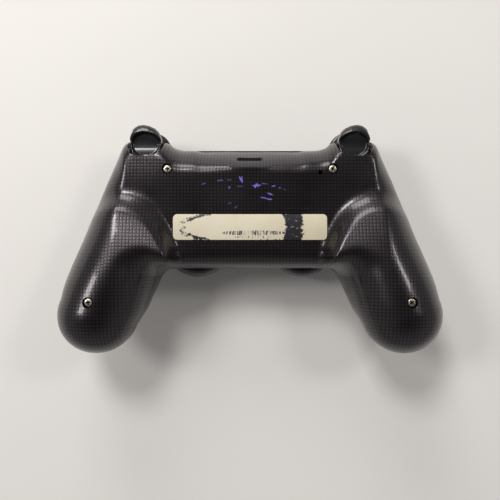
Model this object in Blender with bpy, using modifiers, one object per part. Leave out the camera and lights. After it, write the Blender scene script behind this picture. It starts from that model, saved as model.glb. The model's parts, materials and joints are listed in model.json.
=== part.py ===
"""A wireless twin-grip gamepad that lies face down on its two thumb sticks, as separate pieces.

Metres, +Z up. +X is the player's left hand, +Y the trigger side and +Z the back of the gamepad. The origin is
below the middle of the object, on the surface that the stick caps rest on. Sizes below are in millimetres.
"""

import math
from dataclasses import dataclass

import bmesh
import bpy
import numpy as np
from mathutils import Matrix, Vector

MM = 0.001
OBJECT_NAME = "gamepad"

# Outline of the body, seen from the back, for the +X half.
TOP_Y = 38.65
REAR_TOP_Y = 37.4
LOWER_Y = -13.55
CORNER = Vector((33.5, -19.55))
CORNER_RADIUS = 6.0
GRIP_CENTRE = Vector((64.2, -31.6))
GRIP_RADIUS = 17.1
GRIP_TURN = math.radians(71.5)
GRIP_ACROSS = Vector((math.sin(GRIP_TURN), math.cos(GRIP_TURN)))
GRIP_ALONG = Vector((math.cos(GRIP_TURN), -math.sin(GRIP_TURN)))
INNER_SIDE = [(39.2, -17.65), (42.3, -25.4), (44.6, -31.2), (47.98, -37.03)]
SHOULDER = [(33.5, 39.2), (38.5, 40.6), (46.0, 41.1), (52.0, 40.9), (54.6, 39.4), (56.6, 36.7)]
OUTER_SIDE = [(56.6, 36.7), (59.0, 32.6), (63.2, 23.3), (67.4, 12.9), (71.4, 2.4), (74.6, -5.8)]
GRIP_SIDE = [(74.6, -5.8), (77.2, -12.8), (79.2, -19.4), (80.42, -26.17)]
SECTION_STEPS = (5, 9, 3, 6)
CELLS_ACROSS = 10
RIM_LIFT = 0.8

# Heights above the surface that the object lies on.
FACE_Z = 11.5
PARTING_Z = 21.5
TIP_PARTING_Z = 36.0
PANEL_Z = 37.5
GRIP_RISE = 17.2
WALL = 2.0
GAP = 0.3

# Places of the pieces that the shells make room for.
STICK_X, STICK_Y, STICK_PIVOT_Z = 23.5, -2.05, 19.5
STICK_HOLE_RADIUS = 10.8
WELL_RADIUS = 15.5
CLUSTER_X, CLUSTER_Y = 47.0, 18.5
BUTTON_RADIUS, BUTTON_SPACING = 4.4, 8.4
PAD_ARM, PAD_HALF_WIDTH = 9.4, 3.6
PILL_X, PILL_Y, PILL_HALF_WIDTH, PILL_HALF_LENGTH = 30.2, 29.0, 1.3, 3.2
HOME_Y, HOME_RADIUS = -3.6, 4.1
TOUCH_HALF_WIDTH, TOUCH_LOW_Y, TOUCH_HIGH_Y = 27.0, 11.5, 33.5
UPPER_SCREW = Vector((34.9, 28.8, 37.0))
LOWER_SCREW = Vector((64.8, -26.5, 50.9))
RESET_X, RESET_Y, RESET_RADIUS = 29.6, 27.2, 0.9
LABEL_HALF_WIDTH, LABEL_HALF_HEIGHT, LABEL_Y = 32.4, 5.4, 4.2
TRIGGER_INNER_X, TRIGGER_OUTER_X = 38.2, 51.6
TRIGGER_AXIS_Y, TRIGGER_AXIS_Z = 36.0, 19.5
BUMPER_AXIS_X, BUMPER_AXIS_Y = 31.0, 33.8
JACK_X, JACK_Z = 4.6, 18.0
BOARD_LOW_Z, BOARD_HIGH_Z = 25.5, 27.1
MOTOR_X, MOTOR_Y, MOTOR_Z = 54.8, -6.5, 30.0

SIDES = (("left", 1), ("right", -1))


# ---------------------------------------------------------------- collections, materials and helpers


def new_collection(name):
    collection = bpy.data.collections.new(name)
    bpy.context.scene.collection.children.link(collection)
    return collection


def material(name, colour, roughness, metallic=0.0):
    """A Principled material, made once for each name."""
    found = bpy.data.materials.get(name)
    if found:
        return found
    made = bpy.data.materials.new(name)
    made.use_nodes = True
    shader = made.node_tree.nodes["Principled BSDF"]
    shader.inputs["Base Color"].default_value = (*colour, 1.0)
    shader.inputs["Roughness"].default_value = roughness
    shader.inputs["Metallic"].default_value = metallic
    return made


FINISHES = {
    "gloss_shell": ((0.012, 0.012, 0.014), 0.12, 0.0),
    "black_plastic": ((0.02, 0.02, 0.022), 0.4, 0.0),
    "grey_plastic": ((0.16, 0.16, 0.17), 0.5, 0.0),
    "rubber": ((0.025, 0.025, 0.026), 0.75, 0.0),
    "soft_rubber": ((0.45, 0.46, 0.44), 0.7, 0.0),
    "steel": ((0.62, 0.6, 0.56), 0.3, 1.0),
    "brass": ((0.7, 0.55, 0.3), 0.35, 1.0),
    "board": ((0.02, 0.16, 0.08), 0.45, 0.0),
    "label": ((0.72, 0.68, 0.56), 0.6, 0.0),
    "battery": ((0.1, 0.12, 0.3), 0.5, 0.0),
    "lens": ((0.05, 0.06, 0.09), 0.1, 0.0),
}


def finish(name):
    return material(name, *FINISHES[name])


def place_mesh(name, mesh, finish_name, origin, helper=False):
    """An object for a mesh in world millimetres, with its own origin at the given point."""
    mesh.transform(Matrix.Scale(MM, 4) @ Matrix.Translation(-Vector(origin)))
    mesh.shade_smooth()
    mesh.set_sharp_from_angle(angle=math.radians(35))
    mesh.materials.clear()
    obj = bpy.data.objects.new(name, mesh)
    obj.location = Vector(origin) * MM
    if helper:
        obj.hide_render = True
        obj.display_type = "WIRE"
        CUTTERS.objects.link(obj)
    else:
        mesh.materials.append(finish(finish_name))
        PARTS.objects.link(obj)
    return obj


def mesh_from(bm, name):
    """The bmesh as a mesh whose faces point outwards."""
    bmesh.ops.remove_doubles(bm, verts=bm.verts, dist=1e-4)
    bmesh.ops.recalc_face_normals(bm, faces=bm.faces)
    mesh = bpy.data.meshes.new(name)
    bm.to_mesh(mesh)
    bm.free()
    return mesh


def evaluated_mesh(obj, name):
    """The shape that an object's curve or modifiers give, as a welded mesh; the object is removed."""
    bpy.context.scene.collection.objects.link(obj)
    bpy.context.view_layer.update()
    graph = bpy.context.evaluated_depsgraph_get()
    mesh = bpy.data.meshes.new_from_object(obj.evaluated_get(graph))
    mesh.transform(obj.matrix_world)
    bpy.data.objects.remove(obj)
    bm = bmesh.new()
    bm.from_mesh(mesh)
    bpy.data.meshes.remove(mesh)
    return mesh_from(bm, name)


def block_mesh(name, low, high, bevel=0.0):
    """A box between two corners, with rounded edges where a bevel is given."""
    low, high = Vector(low), Vector(high)
    low, high = (Vector(map(min, low, high)), Vector(map(max, low, high)))
    bm = bmesh.new()
    bmesh.ops.create_cube(bm, size=1.0)
    bmesh.ops.scale(bm, vec=high - low, verts=bm.verts)
    bmesh.ops.translate(bm, vec=(low + high) / 2, verts=bm.verts)
    if bevel:
        bmesh.ops.bevel(bm, geom=bm.edges[:], offset=bevel, segments=2, profile=0.5, affect="EDGES")
    return mesh_from(bm, name)


def rod_mesh(name, start, end, radius, sides=24):
    """A cylinder from one point to another."""
    start, end = Vector(start), Vector(end)
    turn = (end - start).to_track_quat("Z", "Y").to_matrix().to_4x4()
    bm = bmesh.new()
    bmesh.ops.create_cone(bm, cap_ends=True, segments=sides, radius1=radius, radius2=radius,
                          depth=(end - start).length, matrix=Matrix.Translation((start + end) / 2) @ turn)
    return mesh_from(bm, name)


def turned_mesh(name, profile, centre, sides=32, turn=None):
    """A solid turned about the upright axis through centre, from (radius, height) points, top to bottom."""
    mesh = bpy.data.meshes.new(name)
    points = [(radius, 0.0, height) for radius, height in profile]
    mesh.from_pydata(points, [(k, k + 1) for k in range(len(points) - 1)], [])
    obj = bpy.data.objects.new(name, mesh)
    screw = obj.modifiers.new("Turn", "SCREW")
    screw.steps = screw.render_steps = sides
    screw.use_merge_vertices = True
    screw.merge_threshold = 1e-4
    obj.matrix_world = Matrix.Translation(Vector(centre)) @ (turn or Matrix.Identity(4))
    return evaluated_mesh(obj, name)


def plate_mesh(name, outline, low, high, axis="Z"):
    """A flat outline made solid between two levels, along Z or along X."""
    curve = bpy.data.curves.new(name, "CURVE")
    curve.dimensions = "2D"
    curve.fill_mode = "BOTH"
    curve.extrude = (high - low) / 2
    spline = curve.splines.new("POLY")
    spline.points.add(len(outline) - 1)
    for point, (across, along) in zip(spline.points, outline):
        point.co = (across, along, 0.0, 1.0)
    spline.use_cyclic_u = True
    obj = bpy.data.objects.new(name, curve)
    if axis == "Z":
        obj.location = (0.0, 0.0, (low + high) / 2)
    else:
        # The outline's own X and Y become the object's Y and Z.
        upright = Matrix(((0, 0, 1, 0), (1, 0, 0, 0), (0, 1, 0, 0), (0, 0, 0, 1)))
        obj.matrix_world = Matrix.Translation(((low + high) / 2, 0.0, 0.0)) @ upright
    return evaluated_mesh(obj, name)


def rounded_outline(centre, half_width, half_height, radius, steps=4):
    """A rectangle's outline with round corners."""
    points = []
    for quarter in range(4):
        sign_x = 1 if quarter in (0, 3) else -1
        sign_y = 1 if quarter < 2 else -1
        for step in range(steps + 1):
            angle = math.pi / 2 * (quarter + step / steps)
            x = centre[0] + sign_x * (half_width - radius) + radius * math.cos(angle)
            y = centre[1] + sign_y * (half_height - radius) + radius * math.sin(angle)
            points.append((x, y))
    return points


def circle_points(centre, radius, start, end, steps):
    """Points of an arc, in degrees from the outline's second axis towards its first."""
    angles = np.radians(np.linspace(start, end, steps + 1))
    return [(centre[0] + radius * math.sin(a), centre[1] + radius * math.cos(a)) for a in angles]


def mirrored(outline, side):
    return [(side * x, y) for x, y in outline]


def combine(target, mesh, operation):
    """Cuts a mesh from an object, joins it on, or keeps only what lies inside it."""
    helper = place_mesh(f"{target.name}_{operation.lower()}_{len(target.modifiers)}", mesh, None, (0, 0, 0),
                        True)
    step = target.modifiers.new(helper.name, "BOOLEAN")
    step.operation = operation
    # The shells' thin lofted walls are what the exact solver can't cut.
    step.solver = "MANIFOLD" if target.name.endswith("shell") else "EXACT"
    step.object = helper


def cut(target, *meshes):
    for mesh in meshes:
        combine(target, mesh, "DIFFERENCE")


def join(target, *meshes):
    for mesh in meshes:
        combine(target, mesh, "UNION")


def block(name, low, high, finish_name, bevel=0.0, origin=(0, 0, 0)):
    return place_mesh(name, block_mesh(name, low, high, bevel), finish_name, origin)


def rod(name, start, end, radius, finish_name, sides=24, origin=(0, 0, 0)):
    return place_mesh(name, rod_mesh(name, start, end, radius, sides), finish_name, origin)


def turned(name, profile, centre, finish_name, sides=32, origin=(0, 0, 0)):
    return place_mesh(name, turned_mesh(name, profile, centre, sides), finish_name, origin)


def plate(name, outline, low, high, finish_name, origin=(0, 0, 0), axis="Z"):
    return place_mesh(name, plate_mesh(name, outline, low, high, axis), finish_name, origin)


# ---------------------------------------------------------------- the body's surface


def smooth(value):
    """Runs from 0 to 1 with a level start and end."""
    value = min(max(value, 0.0), 1.0)
    return value * value * (3 - 2 * value)


def curve_point(before, start, end, after, part):
    """A point between start and end on the centripetal Catmull-Rom curve through four points."""
    knots = [0.0]
    for first, second in ((before, start), (start, end), (end, after)):
        knots.append(knots[-1] + math.sqrt((second - first).length))
    at = knots[1] + part * (knots[2] - knots[1])

    def between(first, second, low, high):
        return first.lerp(second, (at - knots[low]) / (knots[high] - knots[low]))

    a = between(before, start, 0, 1)
    b = between(start, end, 1, 2)
    c = between(end, after, 2, 3)
    return between(between(a, b, 0, 2), between(b, c, 1, 3), 1, 2)


def spread_along(points, count):
    """Evenly spaced points on a smooth curve through the given ones."""
    chain = [Vector(point) for point in points]
    chain = [2 * chain[0] - chain[1], *chain, 2 * chain[-1] - chain[-2]]
    dense = []
    for stretch in zip(chain, chain[1:], chain[2:], chain[3:]):
        dense += [curve_point(*stretch, part) for part in np.linspace(0, 1, 16, endpoint=False)]
    dense.append(chain[-2])
    lengths = np.cumsum([0.0] + [(b - a).length for a, b in zip(dense, dense[1:])])
    wanted = np.linspace(0.0, lengths[-1], count)
    xs, ys = [point.x for point in dense], [point.y for point in dense]
    return [Vector((np.interp(w, lengths, xs), np.interp(w, lengths, ys))) for w in wanted]


@dataclass
class Station:
    """One line across the body, from its lower or inner outline to its upper or outer one."""

    inner: Vector
    outer: Vector
    inner_width: float
    outer_width: float
    outer_power: float
    end_height: float


def stations(rear):
    """The lines across the +X half, from the middle of the body to the tip of the grip."""
    centre_steps, fan_steps, side_steps, tip_steps = SECTION_STEPS
    top_y = REAR_TOP_Y if rear else TOP_Y
    inner_edge, outer_edge = (10.5, 8.6) if rear else (5.0, 5.0)
    power = 1.2 if rear else 2.0
    top_edge = spread_along([(0, top_y), (13, top_y), (24, top_y), (28.5, 38.3), (33.5, 39.2)],
                            centre_steps + 1)
    found = []
    for k, outer in enumerate(top_edge[:-1]):
        part = k / centre_steps
        inner = Vector((CORNER.x * part, LOWER_Y))
        found.append(Station(inner, outer, inner_edge - 2 * part * rear, outer_edge - 1.2 * part * rear,
                             power + 0.4 * part * rear, 1.0))
    fan = spread_along(SHOULDER + OUTER_SIDE[1:], fan_steps + 1)
    for k, outer in enumerate(fan[:-1]):
        part = k / fan_steps
        turn = GRIP_TURN * part
        inner = CORNER + CORNER_RADIUS * Vector((math.sin(turn), math.cos(turn)))
        half = (outer - inner).length / 2
        start_in, start_out = (8.5, 6.8) if rear else (5.0, 4.5)
        width_in = start_in + (18.6 - start_in) * smooth(part)
        width_out = start_out + (18.6 - start_out) * smooth((part - 0.25) / 0.75)
        found.append(Station(inner, outer, min(width_in, half), min(width_out, half),
                             2.0 - 0.4 * (1 - part) * rear, 1.0))
    sides = zip(spread_along(INNER_SIDE, side_steps + 1), spread_along(GRIP_SIDE, side_steps + 1))
    for inner, outer in list(sides)[:-1]:
        half = (outer - inner).length / 2
        found.append(Station(inner, outer, half, half, 2.0, 1.0))
    for k in range(tip_steps + 1):
        angle = math.pi / 2 * (1 - k / tip_steps)
        reach = GRIP_RADIUS * math.sin(angle)
        middle = GRIP_CENTRE + GRIP_ALONG * GRIP_RADIUS * math.cos(angle)
        found.append(Station(middle - GRIP_ACROSS * reach, middle + GRIP_ACROSS * reach,
                             max(reach, 1e-6), max(reach, 1e-6), 2.0, math.sin(angle)))
    return found


def edge_height(distance, width, power=2.0):
    """How far the surface has risen at a distance from the outline, from 0 to 1."""
    left = 1.0 - min(max(distance / width, 0.0), 1.0)
    return (1.0 - left**power) ** (1.0 / power)


def parting_height(x, y):
    """Height of the line where the two shells meet."""
    return PARTING_Z + (TIP_PARTING_Z - PARTING_Z) * smooth((2 - y) / 50) * smooth((abs(x) - 34) / 14)


def rear_height(x, y):
    """Height of the back before its edges are rounded: a flat panel from which the grips swell."""
    from_shoulder = Vector((abs(x) - 46.0, y - 20.0))
    along, across = from_shoulder.dot(GRIP_ALONG), from_shoulder.dot(GRIP_ACROSS)
    past_fold = along - 1.6 - 0.032 * (across - 5.0) ** 2
    rise = GRIP_RISE * (1 - math.exp(-max(along, 0.0) / 28)) * smooth(past_fold / 15)
    droop = 0.9 * smooth((y - 22) / 18) * smooth((abs(x) - 30) / 14)
    return PANEL_Z - droop + rise


def front_height(x, y):
    """Height of the face before its edges are rounded."""
    from_shoulder = Vector((abs(x) - 46.0, y - 20.0))
    along = from_shoulder.dot(GRIP_ALONG)
    return FACE_Z + 10.0 * smooth((along - 8) / 50) * smooth((abs(x) - 30) / 15)


def shell_mesh(name, rear):
    """The open outer surface of one shell's +X half, from the middle plane to the tip of the grip."""
    sign = 1 if rear else -1
    bm = bmesh.new()
    rows = []
    for station in stations(rear):
        length = (station.outer - station.inner).length
        points = []
        for cell in range(CELLS_ACROSS + 1):
            part = 0.5 * (1 - math.cos(math.pi * cell / CELLS_ACROSS))
            x, y = station.inner.lerp(station.outer, part)
            lip = parting_height(x, y) + sign * (GAP / 2 + RIM_LIFT)
            top = rear_height(x, y) if rear else front_height(x, y)
            swell = edge_height(part * length, station.inner_width)
            swell *= edge_height((1 - part) * length, station.outer_width, station.outer_power)
            points.append(Vector((x, y, lip + (top - lip) * swell * station.end_height)))
        # The wall starts upright at the parting line, so the two rims face each other squarely.
        drop = Vector((0, 0, -sign * RIM_LIFT))
        rows.append([bm.verts.new(point) for point in (points[0] + drop, *points, points[-1] + drop)])
    for row, following in zip(rows, rows[1:]):
        for k in range(len(row) - 1):
            bm.faces.new((row[k], row[k + 1], following[k + 1], following[k]))
    bmesh.ops.remove_doubles(bm, verts=bm.verts, dist=1e-3)
    mesh = mesh_from(bm, name)
    bpy.context.view_layer.update()
    if (mesh.polygons[len(mesh.polygons) // 3].normal.z > 0) != rear:
        mesh.flip_normals()
    return mesh


def shell(name, rear):
    """One shell as a wall of even thickness behind its outer surface."""
    obj = place_mesh(name, shell_mesh(name, rear), "gloss_shell", (0, 0, 0))
    mirror = obj.modifiers.new("Other half", "MIRROR")
    mirror.merge_threshold = 1e-5
    wall = obj.modifiers.new("Wall", "SOLIDIFY")
    wall.thickness = WALL * MM
    wall.offset = -1.0
    wall.use_even_offset = True
    wall.use_quality_normals = True
    return obj


# ---------------------------------------------------------------- shells, screws and trim


def screw_seats():
    """Each case screw's place on the back, and the level that its head rests on."""
    for name, side in SIDES:
        for row, place, depth in (("upper", UPPER_SCREW, 1.9), ("lower", LOWER_SCREW, 2.4)):
            yield f"{name}_{row}", Vector((side * place.x, place.y, place.z)), place.z - depth


def build_rear_shell():
    rear = shell("rear_shell", True)
    for name, place, seat in screw_seats():
        boss_end = seat - 5.5
        join(rear, rod_mesh(name, (place.x, place.y, place.z - 0.9), (place.x, place.y, boss_end), 2.9, 16))
        cut(rear,
            rod_mesh(name, (place.x, place.y, seat), (place.x, place.y, seat + 6), 2.25, 16),
            rod_mesh(name, (place.x, place.y, seat + 1), (place.x, place.y, boss_end - 1), 1.6, 12))
    cut(rear,
        rod_mesh("reset_hole", (RESET_X, RESET_Y, 32), (RESET_X, RESET_Y, 42), RESET_RADIUS, 12),
        plate_mesh("label_bed", rounded_outline((0, LABEL_Y), LABEL_HALF_WIDTH + GAP,
                                                LABEL_HALF_HEIGHT + GAP, 2.1),
                   PANEL_Z - 0.55, PANEL_Z + 3),
        block_mesh("usb_slot", (-5.6, 27.0, 31.0), (5.6, 45.0, 33.8)))
    for _, side in SIDES:
        cut(rear, block_mesh("trigger_slot", (side * 37.6, 34.4, 18), (side * 52.1, 50, 42)))


def build_front_shell():
    front = shell("front_shell", False)
    for _, side in SIDES:
        x = side * STICK_X
        well = [(11.85, 21.3), (13.0, 21.2), (14.4, 20.3), (15.2, 18.6), (WELL_RADIUS, 16.3),
                (WELL_RADIUS, 11.6), (14.6, 10.5), (12.2, 10.0), (STICK_HOLE_RADIUS, 10.2),
                (STICK_HOLE_RADIUS, 12.2), (13.5, 12.6), (13.5, 20.0), (11.85, 20.5), (11.85, 21.3)]
        cut(front, rod_mesh("well_room", (x, STICK_Y, 8), (x, STICK_Y, 21.2), 14.4, 24))
        join(front, turned_mesh("well", well, (x, STICK_Y, 0), 24))
        cut(front, block_mesh("bumper_opening", (side * 35.4, 35.6, 8), (side * 53.0, 50, 19.4)),
            block_mesh("trigger_slot", (side * 37.6, 34.4, 19.2), (side * 52.1, 50, 24)),
            plate_mesh("pill_hole", rounded_outline((side * PILL_X, PILL_Y), PILL_HALF_WIDTH + GAP,
                                                    PILL_HALF_LENGTH + GAP, 1.5), 8, 16))
    for centre in button_places():
        cut(front, rod_mesh("button_hole", (*centre, 8), (*centre, 17), BUTTON_RADIUS + GAP, 20))
    cut(front,
        plate_mesh("pad_hole", pad_outline(0.45), 8, 16),
        plate_mesh("touch_hole", touch_outline(GAP), 8, 16),
        rod_mesh("home_hole", (0, HOME_Y, 8), (0, HOME_Y, 16), HOME_RADIUS + GAP, 20),
        block_mesh("light_slot", (-22.5, 34.5, 15.2), (22.5, 42, 20.1)),
        rod_mesh("jack_hole", (JACK_X, -16, JACK_Z), (JACK_X, -9, JACK_Z), 2.9, 20),
        block_mesh("port_hole", (-6.9, -16, 15.6), (1.2, -9, 20.2)))
    for row in range(2):
        for k in range(4):
            place = ((k - 1.5) * 2.6, 4.2 + 2.4 * row)
            cut(front, rod_mesh("grille_hole", (*place, 8), (*place, 16), 0.7, 8))
    for name, place, seat in screw_seats():
        low, high = (13.0, 21.0) if place.y > 0 else (21.2, 38.0)
        join(front, rod_mesh(name, (place.x, place.y, low), (place.x, place.y, high), 2.9, 16))
        cut(front, rod_mesh(name, (place.x, place.y, high - 7), (place.x, place.y, high + 1), 1.55, 12))


def build_case_screws():
    for name, place, seat in screw_seats():
        length = 16.0 if place.y > 0 else 15.0
        rounding = [(0, 1.35), (0.9, 1.3), (1.5, 1.05), (1.8, 0.6), (1.8, 0.0), (1.2, 0.0), (1.2, -length),
                    (0, -length)]
        screw = turned(f"{name}_screw", rounding, (place.x, place.y, seat + GAP), "steel", 16)
        level = seat + GAP + 1.35
        for across, along in ((1.15, 0.28), (0.28, 1.15)):
            cut(screw, block_mesh("recess", (place.x - across, place.y - along, level - 0.7),
                                  (place.x + across, place.y + along, level + 1)))


def build_trim():
    plate("rear_label", rounded_outline((0, LABEL_Y), LABEL_HALF_WIDTH, LABEL_HALF_HEIGHT, 1.8),
          PANEL_Z - 0.25, PANEL_Z + 0.05, "label")
    lens = [(-22.2, 36.2), (-22.2, 37.9), (-21.4, TOP_Y), (21.4, TOP_Y), (22.2, 37.9), (22.2, 36.2)]
    plate("light_bar_lens", lens, 15.5, 19.8, "lens")


# ---------------------------------------------------------------- what the shells hold


def build_inner_frame():
    outline = [(-57, 10), (-40.5, 10), (-40.5, 14.6), (40.5, 14.6), (40.5, 10), (57, 10), (57, 25),
               (31, 25), (31, 31),
               (-31, 31), (-31, 25), (-57, 25)]
    frame = plate("mid_frame", outline, 18.2, 19.6, "black_plastic")
    cut(frame, block_mesh("window", (-12, 18, 15), (12, 27, 25)))
    board = [(-45, -6), (-41, -8), (41, -8), (45, -6), (45, 23), (31.6, 23), (31.6, 30), (-31.6, 30),
             (-31.6, 23),
             (-45, 23)]
    plate("main_board", board, BOARD_LOW_Z, BOARD_HIGH_Z, "board")
    block("battery_pack", (-28, -5, 27.5), (28, 23.5, 34.3), "battery", 1.2)
    plate("usb_board", [(-9, 24), (9, 24), (9, 31.2), (-9, 31.2)], 29.2, 30.2, "board")
    port = block("usb_port", (-3.9, 24.6, 30.6), (3.9, 29.6, 33.4), "steel", 0.4)
    cut(port, block_mesh("mouth", (-3.2, 26, 31.1), (3.2, 32, 32.9)))
    turned("speaker", [(0, 17.2), (5.8, 17.2), (6.0, 17.0), (6.0, 14.6), (5.2, 14.2), (0, 14.2)],
           (0, 7.4, 0), "steel",
           20)
    jack = rod("headset_jack", (JACK_X, -12.9, JACK_Z), (JACK_X, -3.5, JACK_Z), 2.6, "black_plastic", 20)
    cut(jack, rod_mesh("bore", (JACK_X, -14, JACK_Z), (JACK_X, -5, JACK_Z), 1.75, 16))
    port = block("extension_port", (-6.5, -12.7, 16.0), (0.8, -5.0, 19.8), "black_plastic", 0.3)
    cut(port, block_mesh("slot", (-5.9, -14, 16.8), (0.2, -7.5, 19.0)))
    block("reset_switch", (RESET_X - 1.8, RESET_Y - 1.8, 27.4), (RESET_X + 1.8, RESET_Y + 1.8, 29.4),
          "grey_plastic",
          0.2)
    rod("reset_button", (RESET_X, RESET_Y, 29.9), (RESET_X, RESET_Y, 31.0), 0.8, "black_plastic", 12,
        (RESET_X, RESET_Y, 29.9))


def build_motors():
    for name, side in SIDES:
        start, end = MOTOR_X - 7, MOTOR_X + 7
        shaft_end = end + 7.8
        shape = [(0, shaft_end), (0.8, shaft_end), (0.8, end + 1.2), (2.4, end + 1.0), (2.4, end), (5.6, end),
                 (6.0, end - 0.6), (6.0, start + 0.5), (5.5, start), (0, start)]
        lying = Matrix.Rotation(side * math.pi / 2, 4, "Y")
        motor = turned_mesh(f"{name}_rumble_motor", shape, (0, MOTOR_Y, MOTOR_Z), 16, lying)
        place_mesh(f"{name}_rumble_motor", motor, "steel", (0, 0, 0))
        radius = 6.9 if name == "left" else 6.2
        rim = circle_points((0, 0), radius, -78, 78, 10) + circle_points((0, 0), 2.4, 110, 250, 6)
        outline = [(MOTOR_Y + across, MOTOR_Z - up) for across, up in rim]
        low, high = sorted((side * (end + 2.0), side * (end + 6.0)))
        weight = plate(f"{name}_rumble_weight", outline, low, high, "brass",
                       (side * (end + 2), MOTOR_Y, MOTOR_Z), "X")
        cut(weight, rod_mesh("bore", (low - 1, MOTOR_Y, MOTOR_Z), (high + 1, MOTOR_Y, MOTOR_Z), 1.1, 12))


def build_stick(name, side):
    """One thumb stick: a housing, a click plunger, a yoke about X, an arch about Y, a shaft and a cap."""
    x, y, z = side * STICK_X, STICK_Y, STICK_PIVOT_Z
    pivot = (x, y, z)
    low, high = 15.3, 25.2
    module = block(f"{name}_stick_module", (x - 6.8, y - 6.8, low), (x + 6.8, y + 6.8, high),
                   "grey_plastic", 0.5)
    cut(module, block_mesh("hollow", (x - 5.7, y - 5.7, low - 1), (x + 5.7, y + 5.7, high - 1)))
    rod(f"{name}_stick_plunger", (x, y, 22.2), (x, y, 23.4), 2.0, "black_plastic", 16, pivot)

    yoke = block(f"{name}_stick_yoke", (x - 5.2, y - 2.5, z - 0.9), (x + 5.2, y + 2.5, z + 0.9),
                 "grey_plastic", 0.2,
                 pivot)
    cut(yoke, block_mesh("window", (x - 2.6, y - 1.7, z - 3), (x + 2.6, y + 1.7, z + 3)))

    outer = circle_points((y, z), 5.2, 88, 272, 12)
    inner = circle_points((y, z), 4.2, 272, 88, 12)
    foot = [(y - 5.2, z + 3.4), (y - 4.2, z + 3.4)]
    other_foot = [(y + 4.2, z + 3.4), (y + 5.2, z + 3.4)]
    arch = plate(f"{name}_stick_arch", outer + foot + inner + other_foot, x - 2.2, x + 2.2, "black_plastic",
                 pivot, "X")
    cut(arch, block_mesh("slot", (x - 1.4, y - 3.3, z - 7), (x + 1.4, y + 3.3, z - 1)))

    stem = [(0, 21.6), (0.7, 21.5), (1.05, 21.0), (1.05, 12.0), (1.6, 11.4), (1.6, 9.1), (0, 9.1)]
    shaft = turned(f"{name}_stick_shaft", stem, (x, y, 0), "grey_plastic", 16, pivot)
    join(shaft, rod_mesh("trunnion", (x, y - 1.5, z), (x, y + 1.5, z), 0.6, 10))

    dome = [(11.3 * math.sin(a), z - 11.3 * math.cos(a)) for a in np.radians(np.linspace(12, 66, 5))]
    skin = [(12.5 * math.sin(a), z - 12.5 * math.cos(a)) for a in np.radians(np.linspace(66, 24, 5))]
    cap = [(0, 8.8), (2.2, 8.8), *dome, *skin, (5.3, 6.2), (5.8, 4.6), (8.4, 4.1), (9.7, 3.3), (10.0, 2.4),
           (10.0, 1.1), (9.7, 0.35), (9.2, 0.0), (7.7, 0.0), (6.9, 0.5), (5.0, 1.3), (2.5, 1.6), (0, 1.7)]
    turned(f"{name}_stick_cap", cap, (x, y, 0), "rubber", 24, pivot)


def trigger_profile():
    """The trigger's side view as (Y, Z): a wall that slides under the back, a lip and a pivot boss."""
    pivot = (TRIGGER_AXIS_Y, TRIGGER_AXIS_Z)
    back = circle_points(pivot, 12.5, -36, 10, 8)
    lip = [(41.2, 32.2), (44.2, 32.8), (46.6, 33.0), (48.0, 32.6), (48.7, 31.6), (48.5, 30.5)]
    finger = [(47.2, 28.4), (45.8, 26.2), (44.9, 23.8), (44.3, 21.4), (43.6, 19.8)]
    boss = circle_points(pivot, 2.4, 82, 320, 12)
    under = circle_points(pivot, 10.6, 2, -36, 6)
    return back + lip + finger + boss + under


def build_trigger(name, side):
    """A trigger with its bracket, pin and return spring."""
    axis = (side * 45.0, TRIGGER_AXIS_Y, TRIGGER_AXIS_Z)
    low, high = sorted((side * TRIGGER_INNER_X, side * TRIGGER_OUTER_X))
    trigger = plate(f"{name}_trigger", trigger_profile(), low, high, "black_plastic", axis, "X")
    rounded = [(38.0, 15), (52.0, 15), (51.9, 43.6), (51.2, 45.8), (49.8, 47.4), (47.6, 48.6), (45.2, 48.66),
               (42.6, 47.8), (40.0, 46.2), (38.2, 43.8)]
    combine(trigger, plate_mesh("rounded", mirrored(rounded, side), 10, 45), "INTERSECT")
    cut(trigger,
        rod_mesh("bore", (side * 36, *axis[1:]), (side * 54, *axis[1:]), 1.25, 16),
        rod_mesh("spring_room", (side * 36, *axis[1:]), (side * 40.6, *axis[1:]), 3.0, 16))

    bracket = block(f"{name}_trigger_bracket", (side * 35.9, 32.0, 17.8), (side * 52.8, 33.2, 21.0),
                    "black_plastic")
    for near, far in ((35.9, 37.2), (52.1, 52.8)):
        join(bracket, block_mesh("ear", (side * near, 32.4, 17.8), (side * far, 36.7, 21.0)))
    cut(bracket, rod_mesh("hole", (side * 35, *axis[1:]), (side * 54, *axis[1:]), 1.25, 16))
    rod(f"{name}_trigger_pin", (side * 36.1, *axis[1:]), (side * 52.5, *axis[1:]), 0.95, "steel", 16)

    turns, steps = 3, 10
    coil = bpy.data.curves.new(f"{name}_trigger_spring", "CURVE")
    coil.dimensions = "3D"
    coil.bevel_depth = 0.25
    coil.bevel_resolution = 1
    coil.use_fill_caps = True
    spline = coil.splines.new("POLY")
    spline.points.add(turns * steps)
    for k, point in enumerate(spline.points):
        angle = 2 * math.pi * k / steps
        point.co = (side * (38.7 + 1.5 * k / (turns * steps)), axis[1] + 1.9 * math.cos(angle),
                    axis[2] + 1.9 * math.sin(angle), 1.0)
    spring = evaluated_mesh(bpy.data.objects.new(coil.name, coil), coil.name)
    place_mesh(f"{name}_trigger_spring", spring, "steel", (0, 0, 0))


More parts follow.
